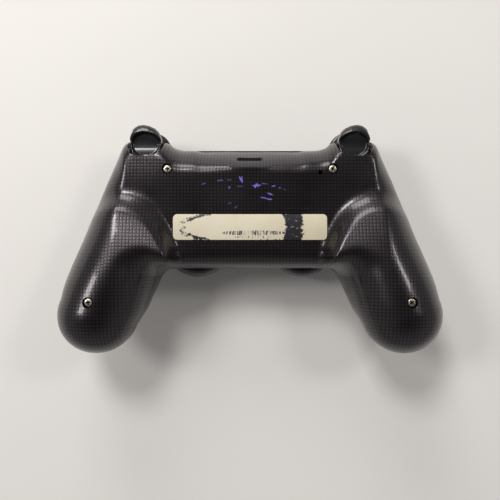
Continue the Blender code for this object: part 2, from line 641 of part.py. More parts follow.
def build_bumper(name, side):
    """A bumper that turns on an upright pin near the middle of the gamepad."""
    axis = (side * BUMPER_AXIS_X, BUMPER_AXIS_Y, 16.3)
    cap = [(35.9, 39.4), (35.9, 41.2), (36.9, 43.4), (39.6, 45.3), (44.0, 46.2), (48.6, 45.6), (51.4, 43.2),
           (52.3, 40.4),
           (52.3, 39.4)]
    bumper = plate(f"{name}_bumper", mirrored(cap, side), 12.2, 19.1, "black_plastic", axis)
    arm = [(29.4, 32.1), (32.6, 32.1), (36.6, 35.4), (37.6, 36.3), (37.6, 38.0), (36.2, 38.0), (36.0, 36.3),
           (34.4, 35.5),
           (29.4, 35.5)]
    join(bumper,
         block_mesh("skirt", (side * 35.9, 36.5, 12.2), (side * 52.3, 39.7, 16.4)),
         plate_mesh("arm", mirrored(arm, side), 15.4, 17.2))
    cut(bumper, rod_mesh("hole", (axis[0], axis[1], 10), (axis[0], axis[1], 20), 1.1, 12))
    rod(f"{name}_bumper_pin", (axis[0], axis[1], 15.0), (axis[0], axis[1], 18.0), 0.8, "steel", 12)


# ---------------------------------------------------------------- the face


def button_places():
    """Centres of the four action buttons."""
    for across, along in ((0, 1), (1, 0), (0, -1), (-1, 0)):
        yield (-CLUSTER_X + BUTTON_SPACING * across, CLUSTER_Y + BUTTON_SPACING * along)


def pad_outline(room):
    """The direction pad's cross, made larger all round by some room."""
    arm, half = PAD_ARM + room, PAD_HALF_WIDTH + room
    cross = [(half, half), (half, arm), (-half, arm), (-half, half), (-arm, half), (-arm, -half),
             (-half, -half),
             (-half, -arm), (half, -arm), (half, -half), (arm, -half), (arm, half)]
    return [(CLUSTER_X + across, CLUSTER_Y + along) for across, along in cross]


def touch_outline(room):
    middle = (TOUCH_LOW_Y + TOUCH_HIGH_Y) / 2
    half = (TOUCH_HIGH_Y - TOUCH_LOW_Y) / 2
    return rounded_outline((0, middle), TOUCH_HALF_WIDTH + room, half + room, 2.5 + room)


def build_face():
    for k, centre in enumerate(button_places()):
        shape = [(0, 15.2), (4.7, 15.2), (4.7, 14.4), (BUTTON_RADIUS, 14.1), (BUTTON_RADIUS, 9.7), (4.1, 9.2),
                 (3.4, 9.0), (0, 8.8)]
        turned(f"action_button_{k + 1}", shape, (*centre, 0), "black_plastic", 20, (*centre, 15.2))
    plate("button_membrane", rounded_outline((-CLUSTER_X, CLUSTER_Y), 8.2, 6.2, 3.0), 17.0, 17.8,
          "soft_rubber")
    plate("pad_membrane", rounded_outline((CLUSTER_X, CLUSTER_Y), 8.2, 6.2, 3.0), 17.0, 17.8, "soft_rubber")
    plate("direction_pad", pad_outline(0.0), 9.8, 14.4, "black_plastic", (CLUSTER_X, CLUSTER_Y, 16.0))
    turned("pad_pivot", [(0, 16.6), (1.9, 16.6), (2.2, 16.0), (1.5, 15.0), (0, 14.8)],
           (CLUSTER_X, CLUSTER_Y, 0),
           "grey_plastic", 16, (CLUSTER_X, CLUSTER_Y, 16.0))
    for name, side in (("share", 1), ("options", -1)):
        centre = (side * PILL_X, PILL_Y)
        plate(f"{name}_button", rounded_outline(centre, PILL_HALF_WIDTH, PILL_HALF_LENGTH, 1.25), 10.9, 13.8,
              "black_plastic", (*centre, 13.8))
    home = [(0, 14.6), (4.5, 14.6), (4.5, 13.9), (HOME_RADIUS, 13.8), (HOME_RADIUS, 11.4), (3.9, 11.0),
            (0, 10.9)]
    turned("home_button", home, (0, HOME_Y, 0), "black_plastic", 20, (0, HOME_Y, 14.6))
    plate("touchpad", touch_outline(0.0), 11.0, 12.6, "black_plastic", (0, TOUCH_HIGH_Y, 12.6))
    plate("touch_board", [(-26, 14.2), (26, 14.2), (26, 33.0), (-26, 33.0)], 14.2, 15.2, "board")


def main():
    build_rear_shell()
    build_front_shell()
    build_case_screws()
    build_trim()
    build_inner_frame()
    build_motors()
    for name, side in SIDES:
        build_stick(name, side)
        build_trigger(name, side)
        build_bumper(name, side)
    build_face()


for old in list(bpy.data.objects):
    bpy.data.objects.remove(old)
PARTS = new_collection(OBJECT_NAME)
CUTTERS = new_collection("cutters")
main()
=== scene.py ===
"""Looks of a wireless twin-grip gamepad that lies face down on its sticks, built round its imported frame.

Lengths in this file are millimetres unless a name says otherwise; meshes are turned into metres as they are made.
+X is the player's left hand, +Y the trigger side and +Z the back of the gamepad.
"""

import json
import logging
import math
from dataclasses import dataclass
from enum import Enum
from functools import reduce
from typing import Iterable, Sequence

import bmesh
import bpy
import numpy as np
from mathutils import Matrix, Vector


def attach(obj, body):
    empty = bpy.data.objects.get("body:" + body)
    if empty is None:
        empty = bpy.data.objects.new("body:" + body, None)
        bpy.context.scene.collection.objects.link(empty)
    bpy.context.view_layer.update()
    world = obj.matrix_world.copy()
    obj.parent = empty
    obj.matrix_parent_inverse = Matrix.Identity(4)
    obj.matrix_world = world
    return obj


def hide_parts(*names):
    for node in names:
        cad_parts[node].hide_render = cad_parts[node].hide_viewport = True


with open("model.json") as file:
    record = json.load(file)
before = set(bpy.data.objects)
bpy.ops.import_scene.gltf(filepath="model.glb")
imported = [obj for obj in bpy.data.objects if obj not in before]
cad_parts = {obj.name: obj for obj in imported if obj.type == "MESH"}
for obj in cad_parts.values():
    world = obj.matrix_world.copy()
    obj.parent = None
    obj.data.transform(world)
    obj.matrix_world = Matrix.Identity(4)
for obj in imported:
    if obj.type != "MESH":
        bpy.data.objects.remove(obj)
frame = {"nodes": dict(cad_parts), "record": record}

MM = 0.001
HOUSING = "housing"
CUT, JOIN = "DIFFERENCE", "UNION"
SHARP_DEGREES = 40.0
log = logging.getLogger("gamepad")

Point = tuple[float, float]
Triple = tuple[float, float, float]


class Side(Enum):
    """The two hands of the player, with the sign of their X."""

    LEFT = 1
    RIGHT = -1

    @property
    def label(self) -> str:
        """The word that this side's nodes start with."""
        return self.name.lower()


# ---------------------------------------------------------------- mesh helpers


def smooth_step(value: float) -> float:
    """Runs from 0 to 1 with a level start and end."""
    value = min(max(value, 0.0), 1.0)
    return value * value * (3 - 2 * value)


def arc(centre: Point, radius: float, start: float, end: float, steps: int) -> list[Point]:
    """Points of an arc, in degrees from the second axis towards the first.

    Args:
        centre: Middle of the arc.
        radius: Its radius.
        start: First angle in degrees.
        end: Last angle in degrees.
        steps: How many chords it has.

    Returns:
        steps + 1 points.
    """
    angles = np.radians(np.linspace(start, end, steps + 1))
    return [(centre[0] + radius * math.sin(a), centre[1] + radius * math.cos(a)) for a in angles]


def rounded_box_outline(centre: Point, half_width: float, half_height: float, radius: float,
                        steps: int = 8) -> list[Point]:
    """A rectangle's outline with round corners, anticlockwise.

    Args:
        centre: Middle of the rectangle.
        half_width: Half its width.
        half_height: Half its height.
        radius: Radius of its corners.
        steps: Chords in each corner.

    Returns:
        The outline's points.
    """
    points = []
    for quarter, (sign_x, sign_y) in enumerate(((1, 1), (-1, 1), (-1, -1), (1, -1))):
        for step in range(steps + 1):
            angle = math.pi / 2 * (quarter + step / steps)
            x = centre[0] + sign_x * (half_width - radius) + radius * math.cos(angle)
            y = centre[1] + sign_y * (half_height - radius) + radius * math.sin(angle)
            points.append((x, y))
    return points


def shade(mesh: bpy.types.Mesh, sharp_degrees: float) -> None:
    """Shades a mesh smooth, apart from the edges that turn by more than an angle."""
    mesh.shade_smooth()
    mesh.set_sharp_from_angle(angle=math.radians(sharp_degrees))


def piece_from(bm: bmesh.types.BMesh, name: str, sharp_degrees: float = SHARP_DEGREES) -> bpy.types.Object:
    """Turns a bmesh in millimetres into a piece with outward faces and its object at the origin.

    Args:
        bm: The shape, which is freed.
        name: The piece's name.
        sharp_degrees: Edges that turn more than this stay sharp in shading.

    Returns:
        The new object, linked to the scene.
    """
    bmesh.ops.remove_doubles(bm, verts=bm.verts, dist=1e-4)
    bmesh.ops.recalc_face_normals(bm, faces=bm.faces)
    mesh = bpy.data.meshes.new(name)
    bm.to_mesh(mesh)
    bm.free()
    mesh.transform(Matrix.Scale(MM, 4))
    shade(mesh, sharp_degrees)
    obj = bpy.data.objects.new(name, mesh)
    bpy.context.scene.collection.objects.link(obj)
    return obj


def settle(obj: bpy.types.Object) -> bpy.types.Object:
    """Applies an object's modifiers by taking its evaluated mesh, and removes them.

    Args:
        obj: The object, whose mesh is replaced.

    Returns:
        The same object.
    """
    bpy.context.view_layer.update()
    graph = bpy.context.evaluated_depsgraph_get()
    mesh = bpy.data.meshes.new_from_object(obj.evaluated_get(graph))
    obj.modifiers.clear()
    obj.data = mesh
    shade(mesh, SHARP_DEGREES)
    return obj


def one_point(name: str) -> bpy.types.Object:
    """A piece that is a single point at the origin, for a node tree to put its shape on."""
    seed = bmesh.new()
    seed.verts.new((0, 0, 0))
    return piece_from(seed, name)


def loft(name: str, rings: Sequence[Sequence[Vector]], closed: bool = True, capped: bool = True) -> bmesh.types.BMesh:
    """Skins rings of equal length one after another.

    Args:
        name: Used only in the log.
        rings: The sections, each a list of points.
        closed: Whether each ring is a loop.
        capped: Whether the first and last rings are filled.

    Returns:
        The skin as a bmesh in millimetres.
    """
    bm = bmesh.new()
    rows = [[bm.verts.new(point) for point in ring] for ring in rings]
    count = len(rows[0])
    last = count if closed else count - 1
    for row, following in zip(rows, rows[1:]):
        for k in range(last):
            n = (k + 1) % count
            bm.faces.new((row[k], row[n], following[n], following[k]))
    if capped:
        bm.faces.new(rows[0])
        bm.faces.new(rows[-1])
    log.debug("lofted %s from %d rings", name, len(rings))
    return bm


def turned(name: str, profile: Sequence[Point], centre: Triple, sides: int = 64) -> bmesh.types.BMesh:
    """A solid of revolution about the upright axis through centre.

    Args:
        name: Used only in the log.
        profile: (radius, height) points from one end of the axis to the other.
        centre: Where the axis stands.
        sides: Facets round the axis.

    Returns:
        The solid as a bmesh in millimetres.
    """
    bm = bmesh.new()
    points = [bm.verts.new((radius, 0.0, height)) for radius, height in profile]
    edges = [bm.edges.new(pair) for pair in zip(points, points[1:])]
    bmesh.ops.spin(bm, geom=points + edges, cent=(0, 0, 0), axis=(0, 0, 1), angle=2 * math.pi, steps=sides,
                   use_merge=True)
    bmesh.ops.remove_doubles(bm, verts=bm.verts, dist=1e-4)
    bmesh.ops.transform(bm, matrix=Matrix.Translation(centre), verts=bm.verts)
    log.debug("turned %s", name)
    return bm


def slab(outline: Sequence[Point], low: float, high: float, edge: float = 0.0, top_only: bool = False,
         segments: int = 3) -> bmesh.types.BMesh:
    """A flat outline made solid between two heights, with rounded rims.

    Args:
        outline: Points of the outline.
        low: Lower height.
        high: Upper height.
        edge: Radius of the rounded rims, or 0 for square ones.
        top_only: Rounds only the rim at the first height given, the one that faces the player.
        segments: Facets across a rounded rim.

    Returns:
        The slab as a bmesh in millimetres.
    """
    bm = bmesh.new()
    face = bm.faces.new([bm.verts.new((x, y, low)) for x, y in outline])
    moved = bmesh.ops.extrude_face_region(bm, geom=[face])
    lifted = [item for item in moved["geom"] if isinstance(item, bmesh.types.BMVert)]
    bmesh.ops.translate(bm, vec=(0, 0, high - low), verts=lifted)
    bmesh.ops.recalc_face_normals(bm, faces=bm.faces)
    if edge:
        levels = (low,) if top_only else (low, high)
        rims = [e for e in bm.edges for level in levels
                if all(abs(v.co.z - level) < 1e-6 for v in e.verts)]
        bmesh.ops.bevel(bm, geom=rims, offset=edge, segments=segments, profile=0.5, affect="EDGES")
    return bm


def box(low: Triple, high: Triple, edge: float = 0.0) -> bmesh.types.BMesh:
    """A box between two corners given in any order, with rounded edges where one is asked for.

    Args:
        low: One corner.
        high: The opposite corner.
        edge: Radius of the edges, or 0 for square ones.

    Returns:
        The box as a bmesh in millimetres.
    """
    low_corner = Vector(map(min, low, high))
    high_corner = Vector(map(max, low, high))
    bm = bmesh.new()
    bmesh.ops.create_cube(bm, size=1.0)
    bmesh.ops.scale(bm, vec=high_corner - low_corner, verts=bm.verts)
    bmesh.ops.translate(bm, vec=(low_corner + high_corner) / 2, verts=bm.verts)
    if edge:
        bmesh.ops.bevel(bm, geom=bm.edges[:], offset=edge, segments=3, profile=0.5, affect="EDGES")
    return bm


def rod(start: Triple, end: Triple, radius: float, sides: int = 48) -> bmesh.types.BMesh:
    """A cylinder from one point to another.

    Args:
        start: Middle of one end.
        end: Middle of the other end.
        radius: Its radius.
        sides: Facets round it.

    Returns:
        The cylinder as a bmesh in millimetres.
    """
    first, last = Vector(start), Vector(end)
    turn = (last - first).to_track_quat("Z", "Y").to_matrix().to_4x4()
    bm = bmesh.new()
    bmesh.ops.create_cone(bm, cap_ends=True, segments=sides, radius1=radius, radius2=radius,
                          depth=(last - first).length, matrix=Matrix.Translation((first + last) / 2) @ turn)
    return bm


def carve(obj: bpy.types.Object, tools: Iterable[tuple[str, bmesh.types.BMesh]]) -> bpy.types.Object:
    """Cuts, joins or trims a piece with a run of tool shapes.

    Args:
        obj: The piece, whose mesh is replaced by the result.
        tools: Pairs of a Boolean operation's name and the tool's shape.

    Returns:
        The same object.
    """
    helpers = []
    for operation, shape in tools:
        helper = piece_from(shape, f"tool_{len(helpers)}")
        step = obj.modifiers.new(helper.name, "BOOLEAN")
        step.operation = operation
        step.solver = "MANIFOLD"
        step.object = helper
        helpers.append(helper)
    settle(obj)
    for helper in helpers:
        bpy.data.objects.remove(helper)
    return obj


def dress(obj: bpy.types.Object, material: bpy.types.Material, body: str,
          nodes: Sequence[str] = ()) -> None:
    """Gives a finished piece its material, its body, its material slot and the CAD nodes that it stands for.

    Args:
        obj: The piece, in its place.
        material: What it is made of.
        body: The CAD body that it moves with.
        nodes: CAD nodes that it replaces.
    """
    obj.data.materials.clear()
    obj.data.materials.append(material)
    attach(obj, body)
    if nodes:
        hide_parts(*nodes)
    log.info("%s: %d faces, rides %s", obj.name, len(obj.data.polygons), body)


# ---------------------------------------------------------------- finishes


class Shader:
    """A Principled material under construction, with short ways to add the nodes that it needs."""

    def __init__(self, name: str) -> None:
        """Starts a material.

        Args:
            name: The material's name.
        """
        self.material = bpy.data.materials.new(name)
        self.material.use_nodes = True
        self.nodes = self.material.node_tree.nodes
        self.links = self.material.node_tree.links
        self.principled = self.nodes["Principled BSDF"]
        placed = self.nodes.new("ShaderNodeTexCoord")
        self.coords = placed.outputs["Object"]
        self.facing = placed.outputs["Normal"]

    def set(self, **values: float | tuple) -> None:
        """Sets constants on the shader's own sockets; an underscore in a name stands for a space."""
        for name, value in values.items():
            self.principled.inputs[name.replace("_", " ")].default_value = value

    def feed(self, name: str, socket: bpy.types.NodeSocket) -> None:
        """Links a socket to one of the shader's inputs."""
        self.links.new(socket, self.principled.inputs[name])

    def place(self, scale: Triple, offset: Triple = (0, 0, 0), turn: Triple = (0, 0, 0)) -> bpy.types.NodeSocket:
        """Object coordinates, moved, turned and scaled."""
        node = self.nodes.new("ShaderNodeMapping")
        node.inputs["Scale"].default_value = scale
        node.inputs["Location"].default_value = offset
        node.inputs["Rotation"].default_value = turn
        self.links.new(self.coords, node.inputs["Vector"])
        return node.outputs["Vector"]

    def noise(self, scale: float, detail: float = 3.0, rough: float = 0.5,
              at: bpy.types.NodeSocket | None = None) -> bpy.types.NodeSocket:
        """Cloudy noise from 0 to 1; scale is cycles per metre unless the coordinates are scaled."""
        node = self.nodes.new("ShaderNodeTexNoise")
        node.inputs["Scale"].default_value = scale
        node.inputs["Detail"].default_value = detail
        node.inputs["Roughness"].default_value = rough
        self.links.new(at or self.coords, node.inputs["Vector"])
        return node.outputs["Fac"]

    def cells(self, scale: float, at: bpy.types.NodeSocket | None = None) -> bpy.types.NodeSocket:
        """Distance to the nearest of many scattered points."""
        node = self.nodes.new("ShaderNodeTexVoronoi")
        node.inputs["Scale"].default_value = scale
        self.links.new(at or self.coords, node.inputs["Vector"])
        return node.outputs["Distance"]

    def maths(self, operation: str, *values: float | bpy.types.NodeSocket, clamp: bool = False) -> bpy.types.NodeSocket:
        """A Math node on numbers or sockets."""
        node = self.nodes.new("ShaderNodeMath")
        node.operation = operation
        node.use_clamp = clamp
        for k, value in enumerate(values):
            if isinstance(value, (int, float)):
                node.inputs[k].default_value = value
            else:
                self.links.new(value, node.inputs[k])
        return node.outputs[0]

    def ramp(self, value: bpy.types.NodeSocket, low: float, high: float, start: float = 0.0,
             end: float = 1.0) -> bpy.types.NodeSocket:
        """Stretches a value's span from low to high onto start to end, clamped."""
        node = self.nodes.new("ShaderNodeMapRange")
        node.inputs["From Min"].default_value = low
        node.inputs["From Max"].default_value = high
        node.inputs["To Min"].default_value = start
        node.inputs["To Max"].default_value = end
        self.links.new(value, node.inputs["Value"])
        return node.outputs["Result"]

    def mix(self, amount: bpy.types.NodeSocket, first: Triple | bpy.types.NodeSocket,
            second: Triple | bpy.types.NodeSocket) -> bpy.types.NodeSocket:
        """A blend of two colours."""
        node = self.nodes.new("ShaderNodeMix")
        node.data_type = "RGBA"
        self.links.new(amount, node.inputs["Factor"])
        for socket, value in ((node.inputs[6], first), (node.inputs[7], second)):
            if isinstance(value, tuple):
                socket.default_value = (*value, 1.0)
            else:
                self.links.new(value, socket)
        return node.outputs[2]

    def vector(self, operation: str, *values: Triple | bpy.types.NodeSocket) -> bpy.types.NodeSocket:
        """A Vector Math node that gives a vector."""
        node = self.nodes.new("ShaderNodeVectorMath")
        node.operation = operation
        for k, value in enumerate(values):
            if isinstance(value, tuple):
                node.inputs[k].default_value = value
            else:
                self.links.new(value, node.inputs[k])
        return node.outputs[0]

    def stroke(self, at: bpy.types.NodeSocket, centre: Point, half: Point, degrees: float) -> bpy.types.NodeSocket:
        """A thin turned ellipse on the back, in millimetres: 1 along its middle and 0 from its edge outwards."""
        node = self.nodes.new("ShaderNodeMapping")
        node.vector_type = "TEXTURE"
        node.inputs["Location"].default_value = (centre[0] * MM, centre[1] * MM, 0.0)
        node.inputs["Rotation"].default_value = (0.0, 0.0, math.radians(degrees))
        node.inputs["Scale"].default_value = (half[0] * MM, half[1] * MM, 1e3)
        self.links.new(at, node.inputs["Vector"])
        away = self.nodes.new("ShaderNodeVectorMath")
        away.operation = "LENGTH"
        self.links.new(node.outputs["Vector"], away.inputs[0])
        return self.ramp(away.outputs["Value"], 1.0, 0.55)

    def axes(self, at: bpy.types.NodeSocket | None = None) -> list[bpy.types.NodeSocket]:
        """The three coordinates as separate values."""
        node = self.nodes.new("ShaderNodeSeparateXYZ")
        self.links.new(at or self.coords, node.inputs[0])
        return list(node.outputs)

    def bump(self, height: bpy.types.NodeSocket, depth_mm: float, strength: float = 1.0,
             under: bpy.types.NodeSocket | None = None) -> bpy.types.NodeSocket:
        """A normal that follows a height, whose full range is depth_mm deep."""
        node = self.nodes.new("ShaderNodeBump")
        node.inputs["Strength"].default_value = strength
        node.inputs["Distance"].default_value = depth_mm * MM
        self.links.new(height, node.inputs["Height"])
        if under is not None:
            self.links.new(under, node.inputs["Normal"])
        return node.outputs["Normal"]

    def merge(self, operation: str, values: Iterable[bpy.types.NodeSocket]) -> bpy.types.NodeSocket:
        """Joins values two at a time with one Math operation, such as MAXIMUM."""
        return reduce(lambda first, second: self.maths(operation, first, second), values)

    def ellipse(self, centre: Point, radii: Point) -> list[bpy.types.NodeSocket]:
        """Where a place on the back lies in an ellipse that is given in millimetres.

        Args:
            centre: The ellipse's middle.
            radii: Half its width and half its height.

        Returns:
            Both coordinates in radii, and the square of their length, which is 1 on the ellipse.
        """
        scaled = [self.maths("DIVIDE", self.maths("SUBTRACT", axis, middle * MM), radius * MM)
                  for axis, middle, radius in zip(self.axes(), centre, radii)]
        return [*scaled, self.maths("ADD", *[self.maths("POWER", value, 2.0) for value in scaled])]

    def blob(self, centre: Point, radii: Point) -> bpy.types.NodeSocket:
        """1 at a place on the back, in millimetres, falling to 0 at the edge of an ellipse."""
        return self.ramp(self.ellipse(centre, radii)[2], 1.0, 0.0)


@dataclass(frozen=True)
class WovenFilm:
    """Black film with a fine woven grid under clear lacquer, scuffed where the gamepad is put down."""

    pitch: float = 1.4
    thread_colour: Triple = (0.0052, 0.0044, 0.0050)
    gap_colour: Triple = (0.0018, 0.0016, 0.0019)
    bare_colour: Triple = (0.19, 0.12, 0.62)
    strokes: tuple[tuple[float, ...], ...] = (
        (-3.8, 24.1, 1.9, 0.42, -61.0, 1.0), (-3.3, 24.6, 1.2, 0.3, -75.0, 0.7), (2.8, 21.7, 2.2, 0.36, 4.0, 1.0),
        (2.7, 21.8, 1.2, 0.34, 58.0, 1.0), (3.0, 21.7, 1.2, 0.34, -40.0, 0.9), (2.2, 21.0, 0.6, 0.36, -80.0, 1.0),
        (6.2, 22.4, 1.7, 0.24, -6.0, 0.55), (9.9, 21.4, 1.1, 0.36, 8.0, 0.85), (12.5, 20.7, 0.5, 0.42, 0.0, 0.6),
        (14.6, 20.0, 0.9, 0.2, -20.0, 0.35), (8.4, 18.1, 1.5, 0.40, -20.0, 0.9), (6.0, 16.4, 2.2, 0.26, -10.0, 0.8),
        (8.2, 15.9, 1.3, 0.34, 0.0, 0.9), (-8.7, 20.8, 0.7, 0.4, 85.0, 0.6), (-8.8, 24.0, 1.3, 0.22, 0.0, 0.4),
        (-4.2, 21.3, 1.8, 0.22, 0.0, 0.35), (-8.6, 14.2, 1.1, 0.25, 12.0, 0.35), (-5.9, 12.6, 0.9, 0.3, 40.0, 0.35),
        (-19.4, 22.4, 1.4, 0.24, 15.0, 0.45), (-12.3, 23.8, 1.3, 0.3, 5.0, 0.5), (-13.4, 23.7, 0.5, 0.3, 70.0, 0.4))

    def build(self, name: str) -> bpy.types.Material:
        """Makes the material.

        Args:
            name: The material's name.

        Returns:
            The finished material.
        """
        s = Shader(name)
        cells = s.ramp(self._grid(s), 0.15, 0.75)
        colour = s.mix(cells, self.gap_colour, self.thread_colour)
        dull = s.ramp(s.noise(60.0, 4.0), 0.3, 0.75, 0.25, 0.34)
        mask, rough = self._wear(s)
        colour = s.mix(mask, colour, self.bare_colour)
        dull = s.maths("ADD", dull, s.maths("MULTIPLY", rough, 0.3), clamp=True)
        s.feed("Base Color", colour)
        s.feed("Roughness", dull)
        s.feed("Specular IOR Level", s.ramp(cells, 0.0, 1.0, 0.30, 0.68))
        s.feed("Normal", s.bump(cells, 0.03, 0.55))
        s.feed("Coat Normal", s.bump(s.noise(420.0, 2.0), 0.02, 0.12))
        s.set(Specular_Tint=(1.0, 0.88, 0.97, 1.0), Coat_Weight=0.3, Coat_Roughness=0.07, Coat_IOR=1.5)
        return s.material

    def _grid(self, s: Shader) -> bpy.types.NodeSocket:
        """0 on the grid's lines and 1 between them; an axis has no lines where the surface faces along it.

        Args:
            s: The shader to add nodes to.

        Returns:
            The grid's value.
        """
        turns = math.pi / (self.pitch * MM)
        waves = []
        for along, facing in zip(s.axes(), s.axes(s.facing)):
            wave = s.maths("ABSOLUTE", s.maths("SINE", s.maths("MULTIPLY", along, turns)))
            wave = s.maths("MAXIMUM", wave, s.ramp(s.maths("ABSOLUTE", facing), 0.60, 0.80))
            waves.append(wave)
        return s.merge("MINIMUM", waves)

    def _wear(self, s: Shader) -> tuple[bpy.types.NodeSocket, bpy.types.NodeSocket]:
        """Short scratches on the middle of the back, and faint scuffs all over.

        Args:
            s: The shader to add nodes to.

        Returns:
            The scratches' mask, and the scuffs' roughness.
        """
        ragged = s.nodes.new("ShaderNodeTexNoise")
        ragged.inputs["Scale"].default_value = 2200.0
        ragged.inputs["Detail"].default_value = 3.0
        s.links.new(s.coords, ragged.inputs["Vector"])
        shaken = s.vector("MULTIPLY_ADD", ragged.outputs["Color"], (0.0007, 0.0007, 0.0), s.coords)
        scratches = []
        for x, y, length, width, degrees, strength in self.strokes:
            near = s.stroke(shaken, (x + 0.35, y + 0.35), (length, width), degrees)
            scratches.append(s.maths("MULTIPLY", near, strength))
        mask = s.merge("MAXIMUM", scratches)
        hairs = s.noise(1.0, 4.0, 0.6, s.place((60.0, 1500.0, 60.0), (0, 0, 0), (0, 0, 0.8)))
        return mask, s.maths("MAXIMUM", mask, s.ramp(hairs, 0.66, 0.72, 0.0, 0.4))


@dataclass(frozen=True)
class Moulded:
    """Moulded plastic or rubber: an even colour with a fine grain, slight mottling and a set gloss."""

    colour: Triple
    rough: float = 0.45
    grain_mm: float = 0.25
    grain_depth: float = 0.02
    mottle: float = 0.25
    coat: float = 0.0

    def build(self, name: str) -> bpy.types.Material:
        """Makes the material and returns it.

        Args:
            name: The material's name.

        Returns:
            The finished material.
        """
        s = Shader(name)
        clouds = s.noise(90.0, 4.0)
        dark = tuple(channel * (1 - self.mottle) for channel in self.colour)
        s.feed("Base Color", s.mix(clouds, dark, self.colour))
        s.feed("Roughness", s.ramp(clouds, 0.3, 0.7, self.rough * 0.85, self.rough * 1.15))
        grain = s.noise(1 / (self.grain_mm * MM), 2.0)
        s.feed("Normal", s.bump(grain, self.grain_depth, 0.5))
        s.set(Coat_Weight=self.coat, Coat_Roughness=0.06)
        return s.material


@dataclass(frozen=True)
class PlatedMetal:
    """Plated steel or brass with turned marks and some tarnish; where asked, faces marked as a recess get a near-black
    painted shade.
    """

    colour: Triple
    tarnish: Triple
    rough: float = 0.3
    tarnish_at: float = 0.62
    recessed: bool = False

    def build(self, name: str) -> bpy.types.Material:
        """Makes the material and returns it.

        Args:
            name: The material's name.

        Returns:
            The finished material.
        """
        s = Shader(name)
        patches = s.ramp(s.noise(900.0, 5.0, 0.6), self.tarnish_at - 0.12, self.tarnish_at + 0.08)
        colour = s.mix(patches, self.colour, self.tarnish)
        # Painted shade: faces marked as the screw's cross recess are blended to near black, standing in for the shade
        # down in the recess.
        if self.recessed:
            recess = s.nodes.new("ShaderNodeAttribute")
            recess.attribute_name = "recess"
            colour = s.mix(recess.outputs["Fac"], colour, (0.02, 0.018, 0.015))
        s.feed("Base Color", colour)
        s.feed("Roughness", s.ramp(patches, 0.0, 1.0, self.rough, self.rough + 0.3))
        marks = s.noise(1.0, 3.0, 0.5, s.place((2600.0, 500.0, 500.0)))
        s.feed("Normal", s.bump(marks, 0.01, 0.4))
        s.set(Metallic=1.0)
        return s.material


@dataclass(frozen=True)
class WornLabel:
    """A pale film label, scraped to the black below it all round an oval where a palm has rubbed it."""

    paper: Triple = (0.70, 0.64, 0.50)
    yellowed: Triple = (0.63, 0.56, 0.41)
    bare: Triple = (0.020, 0.020, 0.026)
    print_colour: Triple = (0.07, 0.055, 0.07)
    centre: Point = (-5.2, 4.2)
    radii: Point = (21.8, 5.7)
    worn_to_x: float = 22.4

    def build(self, name: str) -> bpy.types.Material:
        """Makes the material and returns it.

        Args:
            name: The material's name.

        Returns:
            The finished material.
        """
        s = Shader(name)
        x = s.axes()[0]
        colour = s.mix(s.ramp(s.noise(70.0, 3.0), 0.35, 0.7), self.paper, self.yellowed)
        across, along, square = s.ellipse(self.centre, self.radii)
        flakes = s.noise(1.0, 7.0, 0.75, s.place((520.0, 620.0, 1.0), (0.4, 0.0, 0.0)))
        outside = s.ramp(square, 0.86, 1.12)
        end = s.ramp(x, (self.worn_to_x + 1.3) * MM, (self.worn_to_x - 1.3) * MM)
        right = s.maths("MULTIPLY", s.ramp(s.maths("ADD", across, s.maths("MULTIPLY", square, 0.12)), 0.93, 1.10), end)
        left = s.maths("MULTIPLY", s.ramp(across, -0.35, -0.65), s.ramp(square, 1.75, 1.15))
        left = s.maths("MULTIPLY", left, s.ramp(s.maths("ABSOLUTE", along), 0.25, 0.7, 0.55, 1.0))
        low = s.maths("MULTIPLY", s.ramp(along, -0.5, -0.95, 0.0, 0.55), s.ramp(across, -0.2, 0.35))
        low = s.maths("MULTIPLY", low, end)
        rubbed = s.maths("MULTIPLY", outside, s.maths("MAXIMUM", left, low))
        worn = s.maths("MAXIMUM", right, rubbed)
        lost = s.ramp(s.maths("ADD", flakes, s.maths("MULTIPLY", worn, 0.36)), 0.70, 0.76)
        colour = s.mix(self._marks(s), colour, self.print_colour)
        s.feed("Base Color", s.mix(lost, colour, self.bare))
        s.feed("Roughness", s.ramp(lost, 0.0, 1.0, 0.6, 0.35))
        s.feed("Normal", s.bump(s.maths("SUBTRACT", 1.0, lost), 0.05, 0.6))
        return s.material

    def _marks(self, s: Shader) -> bpy.types.NodeSocket:
        """Two rows of rubbed upright dashes low on the label, with nothing to read in them.

        Args:
            s: The shader to add nodes to.

        Returns:
            1 on a dash and 0 elsewhere.
        """
        rows = []
        for height, thickness, reach, level in ((1.75, 1.05, 14.5, 0.47), (0.0, 0.5, 9.0, 0.55)):
            print_noise = s.noise(1.0, 2.0, 0.5, s.place((1500.0, 260.0, 1.0), (height, 0.3, 0.0)))
            dashes = s.ramp(print_noise, level, level + 0.05)
            gaps = s.ramp(s.noise(1.0, 1.0, 0.5, s.place((170.0, 1.0, 1.0), (height, 0.9, 0.0))), 0.40, 0.50)
            row = s.maths("MULTIPLY", s.ramp(s.blob((1.5, height), (reach, thickness)), 0.0, 0.12), gaps)
            rows.append(s.maths("MULTIPLY", row, dashes, clamp=True))
        return s.merge("MAXIMUM", rows)


@dataclass(frozen=True)
class CircuitBoard:
    """Green solder mask with traces and pads."""

    mask: Triple = (0.004, 0.022, 0.012)
    trace: Triple = (0.008, 0.045, 0.024)

    def build(self, name: str) -> bpy.types.Material:
        """Makes the material and returns it.

        Args:
            name: The material's name.

        Returns:
            The finished material.
        """
        s = Shader(name)
        tracks = s.cells(300.0, s.place((1.0, 0.35, 1.0)))
        lines = s.ramp(tracks, 0.42, 0.5)
        pads = s.ramp(s.cells(420.0), 0.2, 0.14)
        s.feed("Base Color", s.mix(pads, s.mix(lines, self.mask, self.trace), (0.30, 0.26, 0.15)))
        s.feed("Roughness", s.ramp(pads, 0.0, 1.0, 0.35, 0.25))
        s.feed("Normal", s.bump(lines, 0.03, 0.5))
        return s.material


